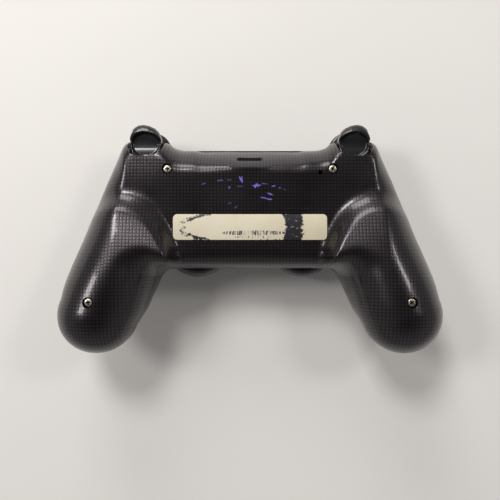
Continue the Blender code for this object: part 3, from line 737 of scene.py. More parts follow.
@dataclass(frozen=True)
class Finishes:
    """Every finish of the gamepad, one field for each material slot or piece that needs its own."""

    gloss_shell: WovenFilm = WovenFilm()
    gloss_trim: Moulded = Moulded((0.011, 0.0105, 0.0115), 0.27, 0.3, 0.006, 0.2, 0.45)
    black_plastic: Moulded = Moulded((0.022, 0.022, 0.024), 0.42)
    grey_plastic: Moulded = Moulded((0.16, 0.16, 0.17), 0.5)
    rubber: Moulded = Moulded((0.013, 0.013, 0.014), 0.72, 0.3, 0.05)
    soft_rubber: Moulded = Moulded((0.42, 0.43, 0.41), 0.7)
    steel: PlatedMetal = PlatedMetal((0.66, 0.63, 0.58), (0.30, 0.25, 0.18))
    brass: PlatedMetal = PlatedMetal((0.72, 0.55, 0.28), (0.35, 0.24, 0.10))
    board: CircuitBoard = CircuitBoard()
    label: WornLabel = WornLabel()
    battery: Moulded = Moulded((0.05, 0.07, 0.22), 0.35, 0.4, 0.01, 0.15, 0.4)
    lens: Moulded = Moulded((0.02, 0.022, 0.03), 0.12, 0.5, 0.004, 0.1, 1.0)
    # The screws' finish paints shade into their cross recesses.
    screw_steel: PlatedMetal = PlatedMetal((0.60, 0.56, 0.46), (0.30, 0.23, 0.13), 0.36, 0.60, True)
    button_face: Moulded = Moulded((0.018, 0.018, 0.02), 0.22, 0.5, 0.006, 0.2, 0.6)

    def build_all(self) -> dict[str, bpy.types.Material]:
        """Makes every material and returns them by name."""
        return {name: finish.build(name) for name, finish in vars(self).items()}


# ---------------------------------------------------------------- the body's form


@dataclass
class Station:
    """One line across the body, from its lower or inner outline to its upper or outer one."""

    inner: Vector
    outer: Vector
    inner_width: float
    outer_width: float
    inner_power: float = 2.0
    outer_power: float = 2.0
    end_height: float = 1.0


def curve_point(before: Vector, start: Vector, end: Vector, after: Vector, part: float) -> Vector:
    """A point between start and end on the smooth curve through four points.

    Args:
        before: The point ahead of the stretch.
        start: Where the stretch starts.
        end: Where it ends.
        after: The point past the stretch.
        part: How far along it, from 0 to 1.

    Returns:
        The point on the centripetal Catmull-Rom curve.
    """
    knots = [0.0]
    for first, second in ((before, start), (start, end), (end, after)):
        knots.append(knots[-1] + math.sqrt((second - first).length))
    at = knots[1] + part * (knots[2] - knots[1])

    def between(first: Vector, second: Vector, low: int, high: int) -> Vector:
        """The point at the wanted knot on the line through two points."""
        return first.lerp(second, (at - knots[low]) / (knots[high] - knots[low]))

    a = between(before, start, 0, 1)
    b = between(start, end, 1, 2)
    c = between(end, after, 2, 3)
    return between(between(a, b, 0, 2), between(b, c, 1, 3), 1, 2)


def spread_along(points: Sequence[Point], count: int) -> list[Vector]:
    """Evenly spaced points on a smooth curve through the given ones.

    Args:
        points: What the curve goes through.
        count: How many points to return.

    Returns:
        The points, ends included.
    """
    chain = [Vector(p) for p in points]
    chain = [2 * chain[0] - chain[1], *chain, 2 * chain[-1] - chain[-2]]
    dense = []
    for stretch in zip(chain, chain[1:], chain[2:], chain[3:]):
        dense += [curve_point(*stretch, part) for part in np.linspace(0, 1, 24, endpoint=False)]
    dense.append(chain[-2])
    lengths = np.cumsum([0.0] + [(b - a).length for a, b in zip(dense, dense[1:])])
    wanted = np.linspace(0.0, lengths[-1], count)
    xs, ys = [p.x for p in dense], [p.y for p in dense]
    return [Vector((np.interp(w, lengths, xs), np.interp(w, lengths, ys))) for w in wanted]


def edge_height(distance: float, width: float, power: float = 2.0) -> float:
    """How far the surface has risen at a distance from the outline, from 0 to 1."""
    left = 1.0 - min(max(distance / width, 0.0), 1.0)
    return (1.0 - left**power) ** (1.0 / power)


@dataclass
class BodyForm:
    """The rule that both shells follow: an outline in plan, a parting line, and a height for back and face."""

    top_y: float = 38.65
    rear_top_y: float = 38.0
    lower_y: float = -13.55
    corner: Point = (33.5, -19.55)
    corner_radius: float = 6.0
    grip_centre: Point = (64.2, -31.6)
    grip_radius: float = 17.1
    grip_turn: float = math.radians(71.5)
    face_z: float = 11.5
    parting_z: float = 21.5
    tip_parting_z: float = 36.0
    panel_z: float = 37.5
    grip_rise: float = 16.3
    rise_length: float = 28.0
    fold_x: float = 41.6
    fold_start: float = 1.6
    fold_bow: float = 0.032
    fold_width: float = 11.0
    shoulder_droop: float = 0.9
    face_turn_x: float = 46.0
    face_climb: float = 10.0
    turn_y: float = 20.0
    wall: float = 2.0
    seam: float = 0.3
    rim_lift: float = 0.8
    steps: tuple[int, int, int, int] = (22, 44, 14, 30)
    cells: int = 48
    inner_side: tuple[Point, ...] = ((39.2, -17.65), (42.3, -25.4), (44.6, -31.2), (47.98, -37.03))
    shoulder: tuple[Point, ...] = ((33.5, 39.7), (35.3, 41.3), (38.6, 42.2), (46.0, 42.3), (52.0, 42.4), (54.9, 41.1),
                                   (56.9, 37.4))
    outer_side: tuple[Point, ...] = ((59.0, 32.6), (63.2, 23.3), (67.4, 12.9), (71.4, 2.4), (74.6, -5.8))
    grip_side: tuple[Point, ...] = ((74.6, -5.8), (77.2, -12.8), (79.2, -19.4), (80.42, -26.17))

    @property
    def across(self) -> Vector:
        """Direction across the +X grip."""
        return Vector((math.sin(self.grip_turn), math.cos(self.grip_turn)))

    @property
    def along(self) -> Vector:
        """Direction down the +X grip, towards its tip."""
        return Vector((math.cos(self.grip_turn), -math.sin(self.grip_turn)))

    def stations(self, rear: bool) -> list[Station]:
        """The lines across the +X half, from the middle of the body to the tip of the grip.

        Args:
            rear: True for the back shell, False for the face shell.

        Returns:
            The stations in order.
        """
        return [*self._centre(rear), *self._fan(rear), *self._grip(), *self._tip()]

    def _centre(self, rear: bool) -> list[Station]:
        """Upright lines across the flat middle."""
        count = self.steps[0]
        top = self.rear_top_y if rear else self.top_y
        middle = [(0, top), (13, top), (22.0, top), (23.6, self.top_y - 0.25 * rear)]
        inner_edge, outer_edge, power = (10.5, 8.6, 1.2) if rear else (5.0, 5.0, 2.0)
        edge = spread_along([*middle, (30.2, self.top_y), self.shoulder[0]], count + 1)
        found = []
        for k, outer in enumerate(edge[:-1]):
            part = k / count
            inner = Vector((self.corner[0] * part, self.lower_y))
            found.append(Station(inner, outer, inner_edge - 2 * part * rear, outer_edge + 2.2 * part * rear,
                                 2.0 + rear, power + 0.4 * part * rear))
        return found

    def _fan(self, rear: bool) -> list[Station]:
        """Lines that fan out from the round inner corner to the shoulder and the outer side."""
        count = self.steps[1]
        half_grip = 18.6
        start_in, start_out = (8.5, 10.8) if rear else (5.0, 5.0)
        found = []
        for k, outer in enumerate(spread_along(self.shoulder + self.outer_side, count + 1)[:-1]):
            part = k / count
            turn = self.grip_turn * part
            inner = Vector(self.corner) + self.corner_radius * Vector((math.sin(turn), math.cos(turn)))
            half = (outer - inner).length / 2
            width_in = start_in + (half_grip - start_in) * smooth_step(part)
            edge_out = start_out - 3.2 * rear * (smooth_step(part / 0.1) - 1.3 * smooth_step((part - 0.25) / 0.2))
            width_out = edge_out + (half_grip - edge_out) * smooth_step((part - 0.25) / 0.75)
            found.append(Station(inner, outer, min(width_in, half), min(width_out, half),
                                 2 + rear * (1 - smooth_step(part)), 2 - 0.4 * (1 - part) * rear))
        return found

    def _grip(self) -> list[Station]:
        """Lines straight across the grip."""
        count = self.steps[2]
        pairs = zip(spread_along(self.inner_side, count + 1), spread_along(self.grip_side, count + 1))
        found = []
        for inner, outer in list(pairs)[:-1]:
            half = (outer - inner).length / 2
            found.append(Station(inner, outer, half, half))
        return found

    def _tip(self) -> list[Station]:
        """Lines across the grip's round end, down to a point."""
        found = []
        for k in range(self.steps[3] + 1):
            angle = math.pi / 2 * (1 - k / self.steps[3])
            reach = self.grip_radius * math.sin(angle)
            middle = Vector(self.grip_centre) + self.along * self.grip_radius * math.cos(angle)
            width = max(reach, 1e-6)
            found.append(Station(middle - self.across * reach, middle + self.across * reach, width, width,
                                 end_height=math.sin(angle)))
        return found

    def parting_height(self, x: float, y: float) -> float:
        """Height of the line where the two shells meet."""
        climb = self.tip_parting_z - self.parting_z
        return self.parting_z + climb * smooth_step((2 - y) / 50) * smooth_step((abs(x) - 34) / 14)

    def rear_height(self, x: float, y: float) -> float:
        """Height of the back before its edges are rounded: a flat panel from which the grips swell."""
        from_shoulder = Vector((abs(x) - self.fold_x, y - self.turn_y))
        along, across = from_shoulder.dot(self.along), from_shoulder.dot(self.across)
        past_fold = along - self.fold_start - self.fold_bow * (across - 5.0) ** 2
        swell = 1 - math.exp(-max(along, 0.0) / self.rise_length)
        rise = self.grip_rise * swell * smooth_step(past_fold / self.fold_width)
        droop = self.shoulder_droop * smooth_step((y - 22) / 18) * smooth_step((abs(x) - 30) / 14)
        return self.panel_z - droop + rise

    def front_height(self, x: float, y: float) -> float:
        """Height of the face before its edges are rounded."""
        from_shoulder = Vector((abs(x) - self.face_turn_x, y - self.turn_y))
        along = from_shoulder.dot(self.along)
        return self.face_z + self.face_climb * smooth_step((along - 8) / 50) * smooth_step((abs(x) - 30) / 15)

    def skin(self, name: str, rear: bool) -> bpy.types.Object:
        """One shell as a closed wall, before anything is cut from it.

        Args:
            name: The piece's name.
            rear: True for the back shell, False for the face shell.

        Returns:
            The shell with both halves and its wall.
        """
        sign = 1 if rear else -1
        height = self.rear_height if rear else self.front_height
        rings = []
        for station in self.stations(rear):
            length = (station.outer - station.inner).length
            points = []
            for cell in range(self.cells + 1):
                part = 0.5 * (1 - math.cos(math.pi * cell / self.cells))
                x, y = station.inner.lerp(station.outer, part)
                lip = self.parting_height(x, y) + sign * (self.seam / 2 + self.rim_lift)
                swell = edge_height(part * length, station.inner_width, station.inner_power)
                swell *= edge_height((1 - part) * length, station.outer_width, station.outer_power)
                points.append(Vector((x, y, lip + (height(x, y) - lip) * swell * station.end_height)))
            drop = Vector((0, 0, -sign * self.rim_lift))
            rings.append([points[0] + drop, *points, points[-1] + drop])
        bm = loft(name, rings, closed=False, capped=False)
        mirrored = bmesh.ops.duplicate(bm, geom=bm.faces[:])["geom"]
        copies = [item for item in mirrored if isinstance(item, bmesh.types.BMVert)]
        bmesh.ops.scale(bm, vec=(-1, 1, 1), verts=copies)
        obj = piece_from(bm, name)
        if (obj.data.polygons[len(obj.data.polygons) // 6].normal.z > 0) != rear:
            obj.data.flip_normals()
        wall = obj.modifiers.new("Wall", "SOLIDIFY")
        wall.thickness = self.wall * MM
        wall.offset = -1.0
        wall.use_even_offset = True
        wall.use_quality_normals = True
        return settle(obj)


# ---------------------------------------------------------------- shells


@dataclass
class Shells:
    """The back and face shells with every opening, boss and well that the CAD shells have."""

    form: BodyForm
    gap: float = 0.3
    upper_screw: Triple = (34.9, 28.8, 37.0)
    lower_screw: Triple = (64.8, -26.5, 50.9)
    seat_depths: Point = (1.9, 2.4)
    reset_at: Point = (29.6, 27.2)
    reset_radius: float = 0.9
    label_half: Point = (32.4, 5.4)
    label_y: float = 4.2
    slot_inner_x: float = 37.2
    slot_outer_x: float = 52.7
    slot_y: float = 34.4
    stick: Point = (23.5, -2.05)
    stick_hole: float = 10.8
    well_radius: float = 15.5
    cluster: Point = (47.0, 18.5)
    button_radius: float = 4.4
    button_spacing: float = 8.4
    pad_arm: float = 9.4
    pad_half_width: float = 3.6
    home_y: float = -3.6
    home_radius: float = 4.1
    jack: Point = (4.6, 18.0)
    boss_radius: float = 2.9
    boss_depth: float = 5.5
    head_hole: float = 2.25
    shank_hole: float = 1.6
    thread_hole: float = 1.55
    usb_z: float = 32.4
    usb_half: Point = (5.6, 1.4)
    touch_y: float = 22.5
    touch_half: Point = (27.0, 11.0)
    pill: Point = (30.2, 29.0)
    pill_half: Point = (1.3, 3.2)
    sharp_degrees: float = 32.0

    def screw_seats(self) -> list[tuple[str, Vector, float]]:
        """Each case screw's name, its place on the back, and the level that its head rests on."""
        found = []
        for side in Side:
            for row, place, depth in zip(("upper", "lower"), (self.upper_screw, self.lower_screw), self.seat_depths):
                found.append((f"{side.label}_{row}_screw", Vector((side.value * place[0], place[1], place[2])),
                              place[2] - depth))
        return found

    def build_rear(self, material: bpy.types.Material) -> bpy.types.Object:
        """Builds and dresses the back shell.

        Args:
            material: Its finish.

        Returns:
            The finished piece.
        """
        form = self.form
        obj = form.skin("rear_shell_skin", True)
        tools = []
        for _, place, seat in self.screw_seats():
            end = seat - self.boss_depth
            tools.append((JOIN, rod((place.x, place.y, place.z - 0.9), (place.x, place.y, end), self.boss_radius)))
            tools.append((CUT, rod((place.x, place.y, seat), (place.x, place.y, seat + 6), self.head_hole)))
            tools.append((CUT, rod((place.x, place.y, seat + 1), (place.x, place.y, end - 1), self.shank_hole)))
        x, y = self.reset_at
        tools.append((CUT, rod((x, y, 32), (x, y, 42), self.reset_radius, 32)))
        bed = rounded_box_outline((0, self.label_y), self.label_half[0] + self.gap, self.label_half[1] + self.gap, 2.1)
        tools.append((CUT, slab(bed, form.panel_z - 0.55, form.panel_z + 3)))
        usb = rounded_box_outline((0, self.usb_z), *self.usb_half, self.usb_half[1] / 2)
        upright = Matrix.Translation((0, 36, 0)) @ Matrix.Rotation(math.pi / 2, 4, "X")
        mouth = slab(usb, -9, 9)
        bmesh.ops.transform(mouth, matrix=upright, verts=mouth.verts)
        tools.append((CUT, mouth))
        half = (self.slot_outer_x - self.slot_inner_x) / 2
        for side in Side:
            middle = side.value * (self.slot_outer_x - half)
            opening = rounded_box_outline((middle, self.slot_y + 9.9), half, 10.0, 5.4)
            tools.append((CUT, slab(opening, 18, 42)))
        carve(obj, tools)
        shade(obj.data, self.sharp_degrees)
        dress(obj, material, HOUSING, ("rear_shell",))
        return obj

    def build_front(self, material: bpy.types.Material, grille: bmesh.types.BMesh) -> bpy.types.Object:
        """Builds and dresses the face shell.

        Args:
            material: Its finish.
            grille: The perforations in front of the speaker, as one shape to cut away.

        Returns:
            The finished piece.
        """
        obj = self.form.skin("front_shell_skin", False)
        tools = []
        for side in Side:
            tools += self._side_tools(side.value)
        for centre in self.button_places():
            tools.append((CUT, rod((*centre, 8), (*centre, 17), self.button_radius + self.gap)))
        half_x, half_y = (half + self.gap for half in self.touch_half)
        touch = rounded_box_outline((0, self.touch_y), half_x, half_y, 2.8)
        tools += [
            (CUT, slab(self.pad_outline(0.45), 8, 16)),
            (CUT, slab(touch, 8, 16)),
            (CUT, rod((0, self.home_y, 8), (0, self.home_y, 16), self.home_radius + self.gap)),
            (CUT, box((-22.5, 34.5, 15.2), (22.5, 42, 20.1))),
            (CUT, rod((self.jack[0], -16, self.jack[1]), (self.jack[0], -9, self.jack[1]), 2.9)),
            (CUT, box((-6.9, -16, 15.6), (1.2, -9, 20.2))),
            (CUT, grille),
        ]
        for _, place, _ in self.screw_seats():
            low, high = (13.0, 21.0) if place.y > 0 else (21.2, 38.0)
            tools.append((JOIN, rod((place.x, place.y, low), (place.x, place.y, high), self.boss_radius)))
            tools.append((CUT, rod((place.x, place.y, high - 7), (place.x, place.y, high + 1), self.thread_hole)))
        carve(obj, tools)
        shade(obj.data, self.sharp_degrees)
        dress(obj, material, HOUSING, ("front_shell",))
        return obj

    def _side_tools(self, sign: int) -> list[tuple[str, bmesh.types.BMesh]]:
        """The stick well, the bumper and trigger openings and the small button's hole of one side.

        Args:
            sign: The side, as the sign of its X.

        Returns:
            Operations and tool shapes, in the order they are carried out.
        """
        x, y = sign * self.stick[0], self.stick[1]
        outer = [(self.well_radius - 3.4 + 3.4 * math.sin(a), 16.3 + 5.0 * math.cos(a))
                 for a in np.radians(np.linspace(0, 90, 13))]
        lip = [(self.well_radius - 1.4 + 1.4 * math.sin(a), 11.7 + 1.6 * math.cos(a))
               for a in np.radians(np.linspace(90, 170, 7))]
        well = [(11.85, 21.3), *outer, *lip, (12.2, 10.0), (11.2, 10.05), (self.stick_hole, 10.4),
                (self.stick_hole, 12.2), (13.5, 12.6), (13.5, 20.0), (11.85, 20.5), (11.85, 21.3)]
        middle = (sign * self.pill[0], self.pill[1])
        pill = rounded_box_outline(middle, self.pill_half[0] + self.gap, self.pill_half[1] + self.gap, 1.5)
        return [
            (CUT, rod((x, y, 8), (x, y, 21.2), 14.4, 64)),
            (JOIN, turned("well", well, (x, y, 0), 96)),
            (CUT, box((sign * 35.4, 35.6, 8), (sign * 53.0, 50, 19.4))),
            (CUT, box((sign * self.slot_inner_x, self.slot_y, 19.2), (sign * self.slot_outer_x, 50, 24))),
            (CUT, slab(pill, 8, 16)),
        ]

    def button_places(self) -> list[Point]:
        """Centres of the four action buttons."""
        spots = ((0, 1), (1, 0), (0, -1), (-1, 0))
        return [(-self.cluster[0] + self.button_spacing * across, self.cluster[1] + self.button_spacing * along)
                for across, along in spots]

    def pad_outline(self, room: float) -> list[Point]:
        """The direction pad's cross, made larger all round by some room."""
        arm, half = self.pad_arm + room, self.pad_half_width + room
        cross = [(half, half), (half, arm), (-half, arm), (-half, half), (-arm, half), (-arm, -half), (-half, -half),
                 (-half, -arm), (half, -arm), (half, -half), (arm, -half), (arm, half)]
        return [(self.cluster[0] + across, self.cluster[1] + along) for across, along in cross]


# ---------------------------------------------------------------- repeated pieces by Geometry Nodes


class Pattern:
    """A Geometry Nodes tree that repeats a small shape, with named inputs for its sizes."""

    def __init__(self, name: str, inputs: Sequence[tuple[str, str, float]]) -> None:
        """Starts the tree.

        Args:
            name: The tree's name.
            inputs: Name, socket type and default value of each size.
        """
        self.tree = bpy.data.node_groups.new(name, "GeometryNodeTree")
        self.tree.interface.new_socket("Geometry", in_out="INPUT", socket_type="NodeSocketGeometry")
        self.identifiers: dict[str, str] = {}
        for label, kind, default in inputs:
            socket = self.tree.interface.new_socket(label, in_out="INPUT", socket_type=kind)
            socket.default_value = default
            self.identifiers[label] = socket.identifier
        self.tree.interface.new_socket("Geometry", in_out="OUTPUT", socket_type="NodeSocketGeometry")
        self.start = self.add("NodeGroupInput")

    def add(self, kind: str, **links: object) -> bpy.types.Node:
        """Adds a node; each keyword is an input's name with underscores, given a socket or a value."""
        node = self.tree.nodes.new(kind)
        for label, value in links.items():
            socket = node.inputs[label.replace("_", " ")]
            if isinstance(value, bpy.types.NodeSocket):
                self.tree.links.new(value, socket)
            else:
                socket.default_value = value
        return node

    def close(self, instances: bpy.types.NodeSocket, material: bpy.types.Material) -> None:
        """Ends the tree with Realize Instances and Set Material."""
        real = self.add("GeometryNodeRealizeInstances", Geometry=instances)
        painted = self.add("GeometryNodeSetMaterial", Geometry=real.outputs[0], Material=material)
        end = self.tree.nodes.new("NodeGroupOutput")
        self.tree.links.new(painted.outputs[0], end.inputs[0])

    def run(self, obj: bpy.types.Object, **values: float) -> bpy.types.Object:
        """Runs the tree on an object with these sizes and keeps the result as a plain mesh."""
        step = obj.modifiers.new(self.tree.name, "NODES")
        step.node_group = self.tree
        for label, value in values.items():
            step[self.identifiers[label.replace("_", " ")]] = value
        return settle(obj)


@dataclass
class CaseScrews:
    """The four Phillips screws that hold the shells together, set on points by a node tree."""

    shells: Shells
    head_radius: float = 1.8
    head_height: float = 1.35
    shank_radius: float = 1.2
    shank_length: float = 15.0

    def head(self) -> bpy.types.Object:
        """One screw standing at the origin, its head's underside at height 0."""
        crown = [(0, self.head_height), (1.1, self.head_height - 0.03), (1.5, self.head_height - 0.14),
                 (1.72, self.head_height - 0.36), (self.head_radius, 0.45), (self.head_radius, 0.0),
                 (self.shank_radius, 0.0), (self.shank_radius, -self.shank_length + 1), (0.5, -self.shank_length),
                 (0, -self.shank_length)]
        screw = piece_from(turned("screw", crown, (0, 0, 0), 40), "screw_pattern")
        low = (self.head_height - 0.25) * MM
        cuts = []
        for across, along in ((1.2, 0.36), (0.36, 1.2)):
            blade = box((-across, -along, self.head_height - 0.9), (across, along, self.head_height + 1))
            narrow = [v for v in blade.verts if v.co.z < self.head_height]
            bmesh.ops.scale(blade, vec=(0.6, 0.8, 1), verts=narrow)
            cuts.append((CUT, blade))
        carve(screw, cuts)
        # Marks the faces down in the cross recess, where the screw's material paints shade near black.
        recess = screw.data.attributes.new("recess", "FLOAT", "FACE")
        for face, value in zip(screw.data.polygons, recess.data):
            value.value = float(0 < face.center.z < low and face.center.to_2d().length < 1.4 * MM)
        return screw

    def build(self, material: bpy.types.Material) -> None:
        """Sets a screw on each seat and dresses the set.

        Args:
            material: Its finish.
        """
        pattern = Pattern("screws on points", [("Size", "NodeSocketFloat", 1.0), ("Turn", "NodeSocketFloat", 0.0),
                                               ("Seed", "NodeSocketInt", 7)])
        info = pattern.add("GeometryNodeObjectInfo", Object=self.head())
        points = pattern.add("GeometryNodeMeshToPoints", Mesh=pattern.start.outputs["Geometry"])
        spin = pattern.add("FunctionNodeRandomValue", Seed=pattern.start.outputs["Seed"])
        spin.data_type = "FLOAT"
        turn = pattern.tree.nodes.new("ShaderNodeCombineXYZ")
        angle = pattern.tree.nodes.new("ShaderNodeMath")
        angle.operation = "MULTIPLY"
        pattern.tree.links.new(spin.outputs[1], angle.inputs[0])
        pattern.tree.links.new(pattern.start.outputs["Turn"], angle.inputs[1])
        pattern.tree.links.new(angle.outputs[0], turn.inputs[2])
        size = pattern.tree.nodes.new("ShaderNodeCombineXYZ")
        for k in range(3):
            pattern.tree.links.new(pattern.start.outputs["Size"], size.inputs[k])
        on = pattern.add("GeometryNodeInstanceOnPoints", Points=points.outputs[0], Instance=info.outputs["Geometry"],
                         Rotation=turn.outputs[0], Scale=size.outputs[0])
        pattern.close(on.outputs[0], material)
        seats = self.shells.screw_seats()
        bm = bmesh.new()
        for _, place, seat in seats:
            bm.verts.new((place.x, place.y, seat + self.shells.gap))
        obj = piece_from(bm, "case_screws")
        pattern.run(obj, Size=1.0, Turn=1.4, Seed=7)
        bpy.data.objects.remove(bpy.data.objects["screw_pattern"])
        dress(obj, material, HOUSING, [name for name, _, _ in seats])


@dataclass
class Grille:
    """Rows of small holes in front of the speaker, repeated over a grid by a node tree."""

    centre: Point = (0.0, 5.4)
    columns: int = 4
    rows: int = 2
    pitch: Point = (2.6, 2.4)
    hole_radius: float = 0.7
    depth: float = 8.0

    def shape(self, material: bpy.types.Material) -> bmesh.types.BMesh:
        """The holes as one shape to cut away, in millimetres.

        Args:
            material: What the tree's Set Material node is given.

        Returns:
            The holes as a bmesh.
        """
        pattern = Pattern("holes on a grid", [
            ("Columns", "NodeSocketInt", self.columns), ("Rows", "NodeSocketInt", self.rows),
            ("Width", "NodeSocketFloat", 1.0), ("Height", "NodeSocketFloat", 1.0),
            ("Radius", "NodeSocketFloat", 1.0), ("Depth", "NodeSocketFloat", 1.0)])
        given = pattern.start.outputs
        grid = pattern.add("GeometryNodeMeshGrid", Size_X=given["Width"], Size_Y=given["Height"],
                           Vertices_X=given["Columns"], Vertices_Y=given["Rows"])
        hole = pattern.add("GeometryNodeMeshCylinder", Vertices=20, Radius=given["Radius"], Depth=given["Depth"])
        on = pattern.add("GeometryNodeInstanceOnPoints", Points=grid.outputs[0], Instance=hole.outputs[0])
        pattern.close(on.outputs[0], material)
        obj = one_point("grille_pattern")
        pattern.run(obj, Columns=self.columns, Rows=self.rows, Width=(self.columns - 1) * self.pitch[0],
                    Height=(self.rows - 1) * self.pitch[1], Radius=self.hole_radius, Depth=self.depth)
        bm = bmesh.new()
        bm.from_mesh(obj.data)
        bpy.data.objects.remove(obj)
        bmesh.ops.translate(bm, vec=(*self.centre, 12.0), verts=bm.verts)
        return bm


# ---------------------------------------------------------------- sticks


@dataclass
class ThumbStick:
    """A rubber cap with a dished top, a knurled rim, a stem and a dome that hides the housing."""

    side: Side
    x: float
    y: float
    pivot_z: float = 19.5
    dome_radius: float = 12.5
    dome_inner: float = 11.3
    rim_radius: float = 9.75
    ribs: int = 60

    def profile(self) -> list[Point]:
        """Half the cap's section, from inside the dome, over its skirt and stem, to the dished top."""
        z = self.pivot_z
        inside = arc((0.0, z), self.dome_inner, 168, 114, 11)
        outside = arc((0.0, z), self.dome_radius, 114, 156, 11)
        neck = [(5.15, 7.4), (5.1, 6.6), (5.3, 5.8), (5.8, 5.0), (6.6, 4.5), (8.0, 4.15), (9.0, 3.8)]
        rim = [(self.rim_radius - 0.2, 3.1), (self.rim_radius, 2.6), (self.rim_radius, 0.9), (9.6, 0.35), (9.2, 0.02)]
        top = [(9.0, 0.0), (7.8, 0.0), (7.4, 0.12), (6.9, 0.5), (6.2, 0.95), (5.0, 1.3), (2.5, 1.6), (0, 1.7)]
        return [(0, 8.8), (2.2, 8.8), *inside, *outside, *neck, *rim, *top]

    def build(self, material: bpy.types.Material) -> None:
        """Builds and dresses the cap with its knurled rim.

        Args:
            material: Its finish.
        """
        cap = piece_from(turned("cap", self.profile(), (self.side.value * self.x, self.y, 0), 72),
                         f"{self.side.label}_thumb_cap")
        knurl = self._knurl(material)
        bm = bmesh.new()
        bm.from_mesh(cap.data)
        bm.from_mesh(knurl.data)
        bm.to_mesh(cap.data)
        bm.free()
        bpy.data.objects.remove(knurl)
        dress(cap, material, f"{self.side.label}_stick", (f"{self.side.label}_stick_cap",))

    def _knurl(self, material: bpy.types.Material) -> bpy.types.Object:
        """The ribs round the rim, set on a circle by a node tree.

        Args:
            material: Their finish.

        Returns:
            The ribs as one object.
        """
        pattern = Pattern(f"{self.side.label} ribs on a circle", [
            ("Count", "NodeSocketInt", self.ribs), ("Radius", "NodeSocketFloat", 0.01),
            ("Rib", "NodeSocketFloat", 0.001), ("Length", "NodeSocketFloat", 0.002)])
        given = pattern.start.outputs
        ring = pattern.add("GeometryNodeMeshCircle", Vertices=given["Count"], Radius=given["Radius"])
        rib = pattern.add("GeometryNodeMeshCylinder", Vertices=6, Radius=given["Rib"], Depth=given["Length"])
        on = pattern.add("GeometryNodeInstanceOnPoints", Points=ring.outputs[0], Instance=rib.outputs[0])
        pattern.close(on.outputs[0], material)
        obj = one_point(f"{self.side.label}_knurl")
        pattern.run(obj, Count=self.ribs, Radius=(self.rim_radius - 0.05) * MM, Rib=0.28 * MM, Length=1.5 * MM)
        obj.data.transform(Matrix.Translation((self.side.value * self.x * MM, self.y * MM, 1.75 * MM)))
        return obj


# ---------------------------------------------------------------- triggers and bumpers


@dataclass
class Trigger:
    """A trigger: a curved back that slides under the shell, a flared lip, and a dished finger surface."""

    side: Side
    axis_y: float = 36.0
    axis_z: float = 19.5
    inner_x: float = 38.2
    outer_x: float = 51.6
    slices: int = 56
    edge: float = 1.7
    dish_centre: Point = (44.9, 39.9)
    dish_half: Point = (6.3, 5.4)
    dish_depth: float = 1.6
    reach_points: tuple[Point, ...] = ((38.2, 43.6), (39.2, 45.4), (41.0, 47.0), (43.6, 48.2), (46.2, 48.62),
                                       (48.4, 48.2), (50.2, 46.9), (51.2, 45.2), (51.6, 43.4))

    def profile(self) -> list[Point]:
        """The side view as (Y, Z), anticlockwise from under the shell, over the back, round the lip and back."""
        pivot = (self.axis_y, self.axis_z)
        back = arc(pivot, 12.5, -36, 12, 30)
        flare = [(40.6, 31.75), (42.4, 32.0), (44.0, 32.6), (45.3, 33.15)]
        lip = [(46.6, 32.55), (47.7, 31.75), (48.4, 30.9), (48.6, 29.8), (48.2, 28.2)]
        finger = [(47.3, 26.9), (46.2, 25.2), (45.2, 23.0), (44.6, 21.4), (43.9, 20.2), (43.2, 19.8)]
        front = [tuple(point) for point in spread_along([*flare, *lip, *finger], 48)]
        boss = arc(pivot, 2.4, 84, 320, 24)
        under = arc(pivot, 10.6, 2, -36, 12)
        return back + front + boss + under

    def _reach(self, x: float) -> float:
        """How far out the lip comes at a place across the trigger, as Y."""
        return float(np.interp(x, [p[0] for p in self.reach_points], [p[1] for p in self.reach_points]))

    def _dish(self, x: float, y: float) -> float:
        """How deep the hollow in the back of the trigger is at a place."""
        across = (x - self.dish_centre[0]) / self.dish_half[0]
        along = (y - self.dish_centre[1]) / self.dish_half[1]
        return self.dish_depth * smooth_step((1 - math.hypot(across, along)) / 0.15)

    def build(self, material: bpy.types.Material) -> None:
        """Builds and dresses the trigger.

        Args:
            material: Its finish.
        """
        full = max(p[1] for p in self.reach_points)
        start = 40.0
        profile = self.profile()
        middle = Vector((42.0, 26.5))
        rings = []
        for k in range(self.slices + 1):
            part = 0.5 * (1 - math.cos(math.pi * k / self.slices))
            x = self.inner_x + (self.outer_x - self.inner_x) * part
            from_end = min(x - self.inner_x, self.outer_x - x)
            shrink = self.edge * (1 - math.sqrt(1 - (1 - min(from_end / self.edge, 1.0)) ** 2))
            stretch = (self._reach(x) - start) / (full - start)
            ring = []
            for y, z in profile:
                y = start + (y - start) * stretch if y > start else y
                inward = middle - Vector((y, z))
                near_boss = (Vector((y, z)) - Vector((self.axis_y, self.axis_z))).length < 3.2
                pull = 0.0 if near_boss else shrink * min(1.0, (z - 19.0) / 3 if z < 22 else 1.0)
                y, z = Vector((y, z)) + inward.normalized() * max(pull, 0.0)
                z -= self._dish(x, y) if z > 29.5 else 0.0
                ring.append(Vector((self.side.value * x, y, z)))
            rings.append(ring)
        obj = piece_from(loft("trigger", rings), f"{self.side.label}_trigger_skin", 50)
        sign = self.side.value
        ends = [(sign * 36, self.axis_y, self.axis_z), (sign * 54, self.axis_y, self.axis_z)]
        spring_end = (sign * 40.6, self.axis_y, self.axis_z)
        carve(obj, [(CUT, rod(ends[0], ends[1], 1.25)), (CUT, rod(ends[0], spring_end, 3.0))])
        dress(obj, material, f"{self.side.label}_trigger", (f"{self.side.label}_trigger",))


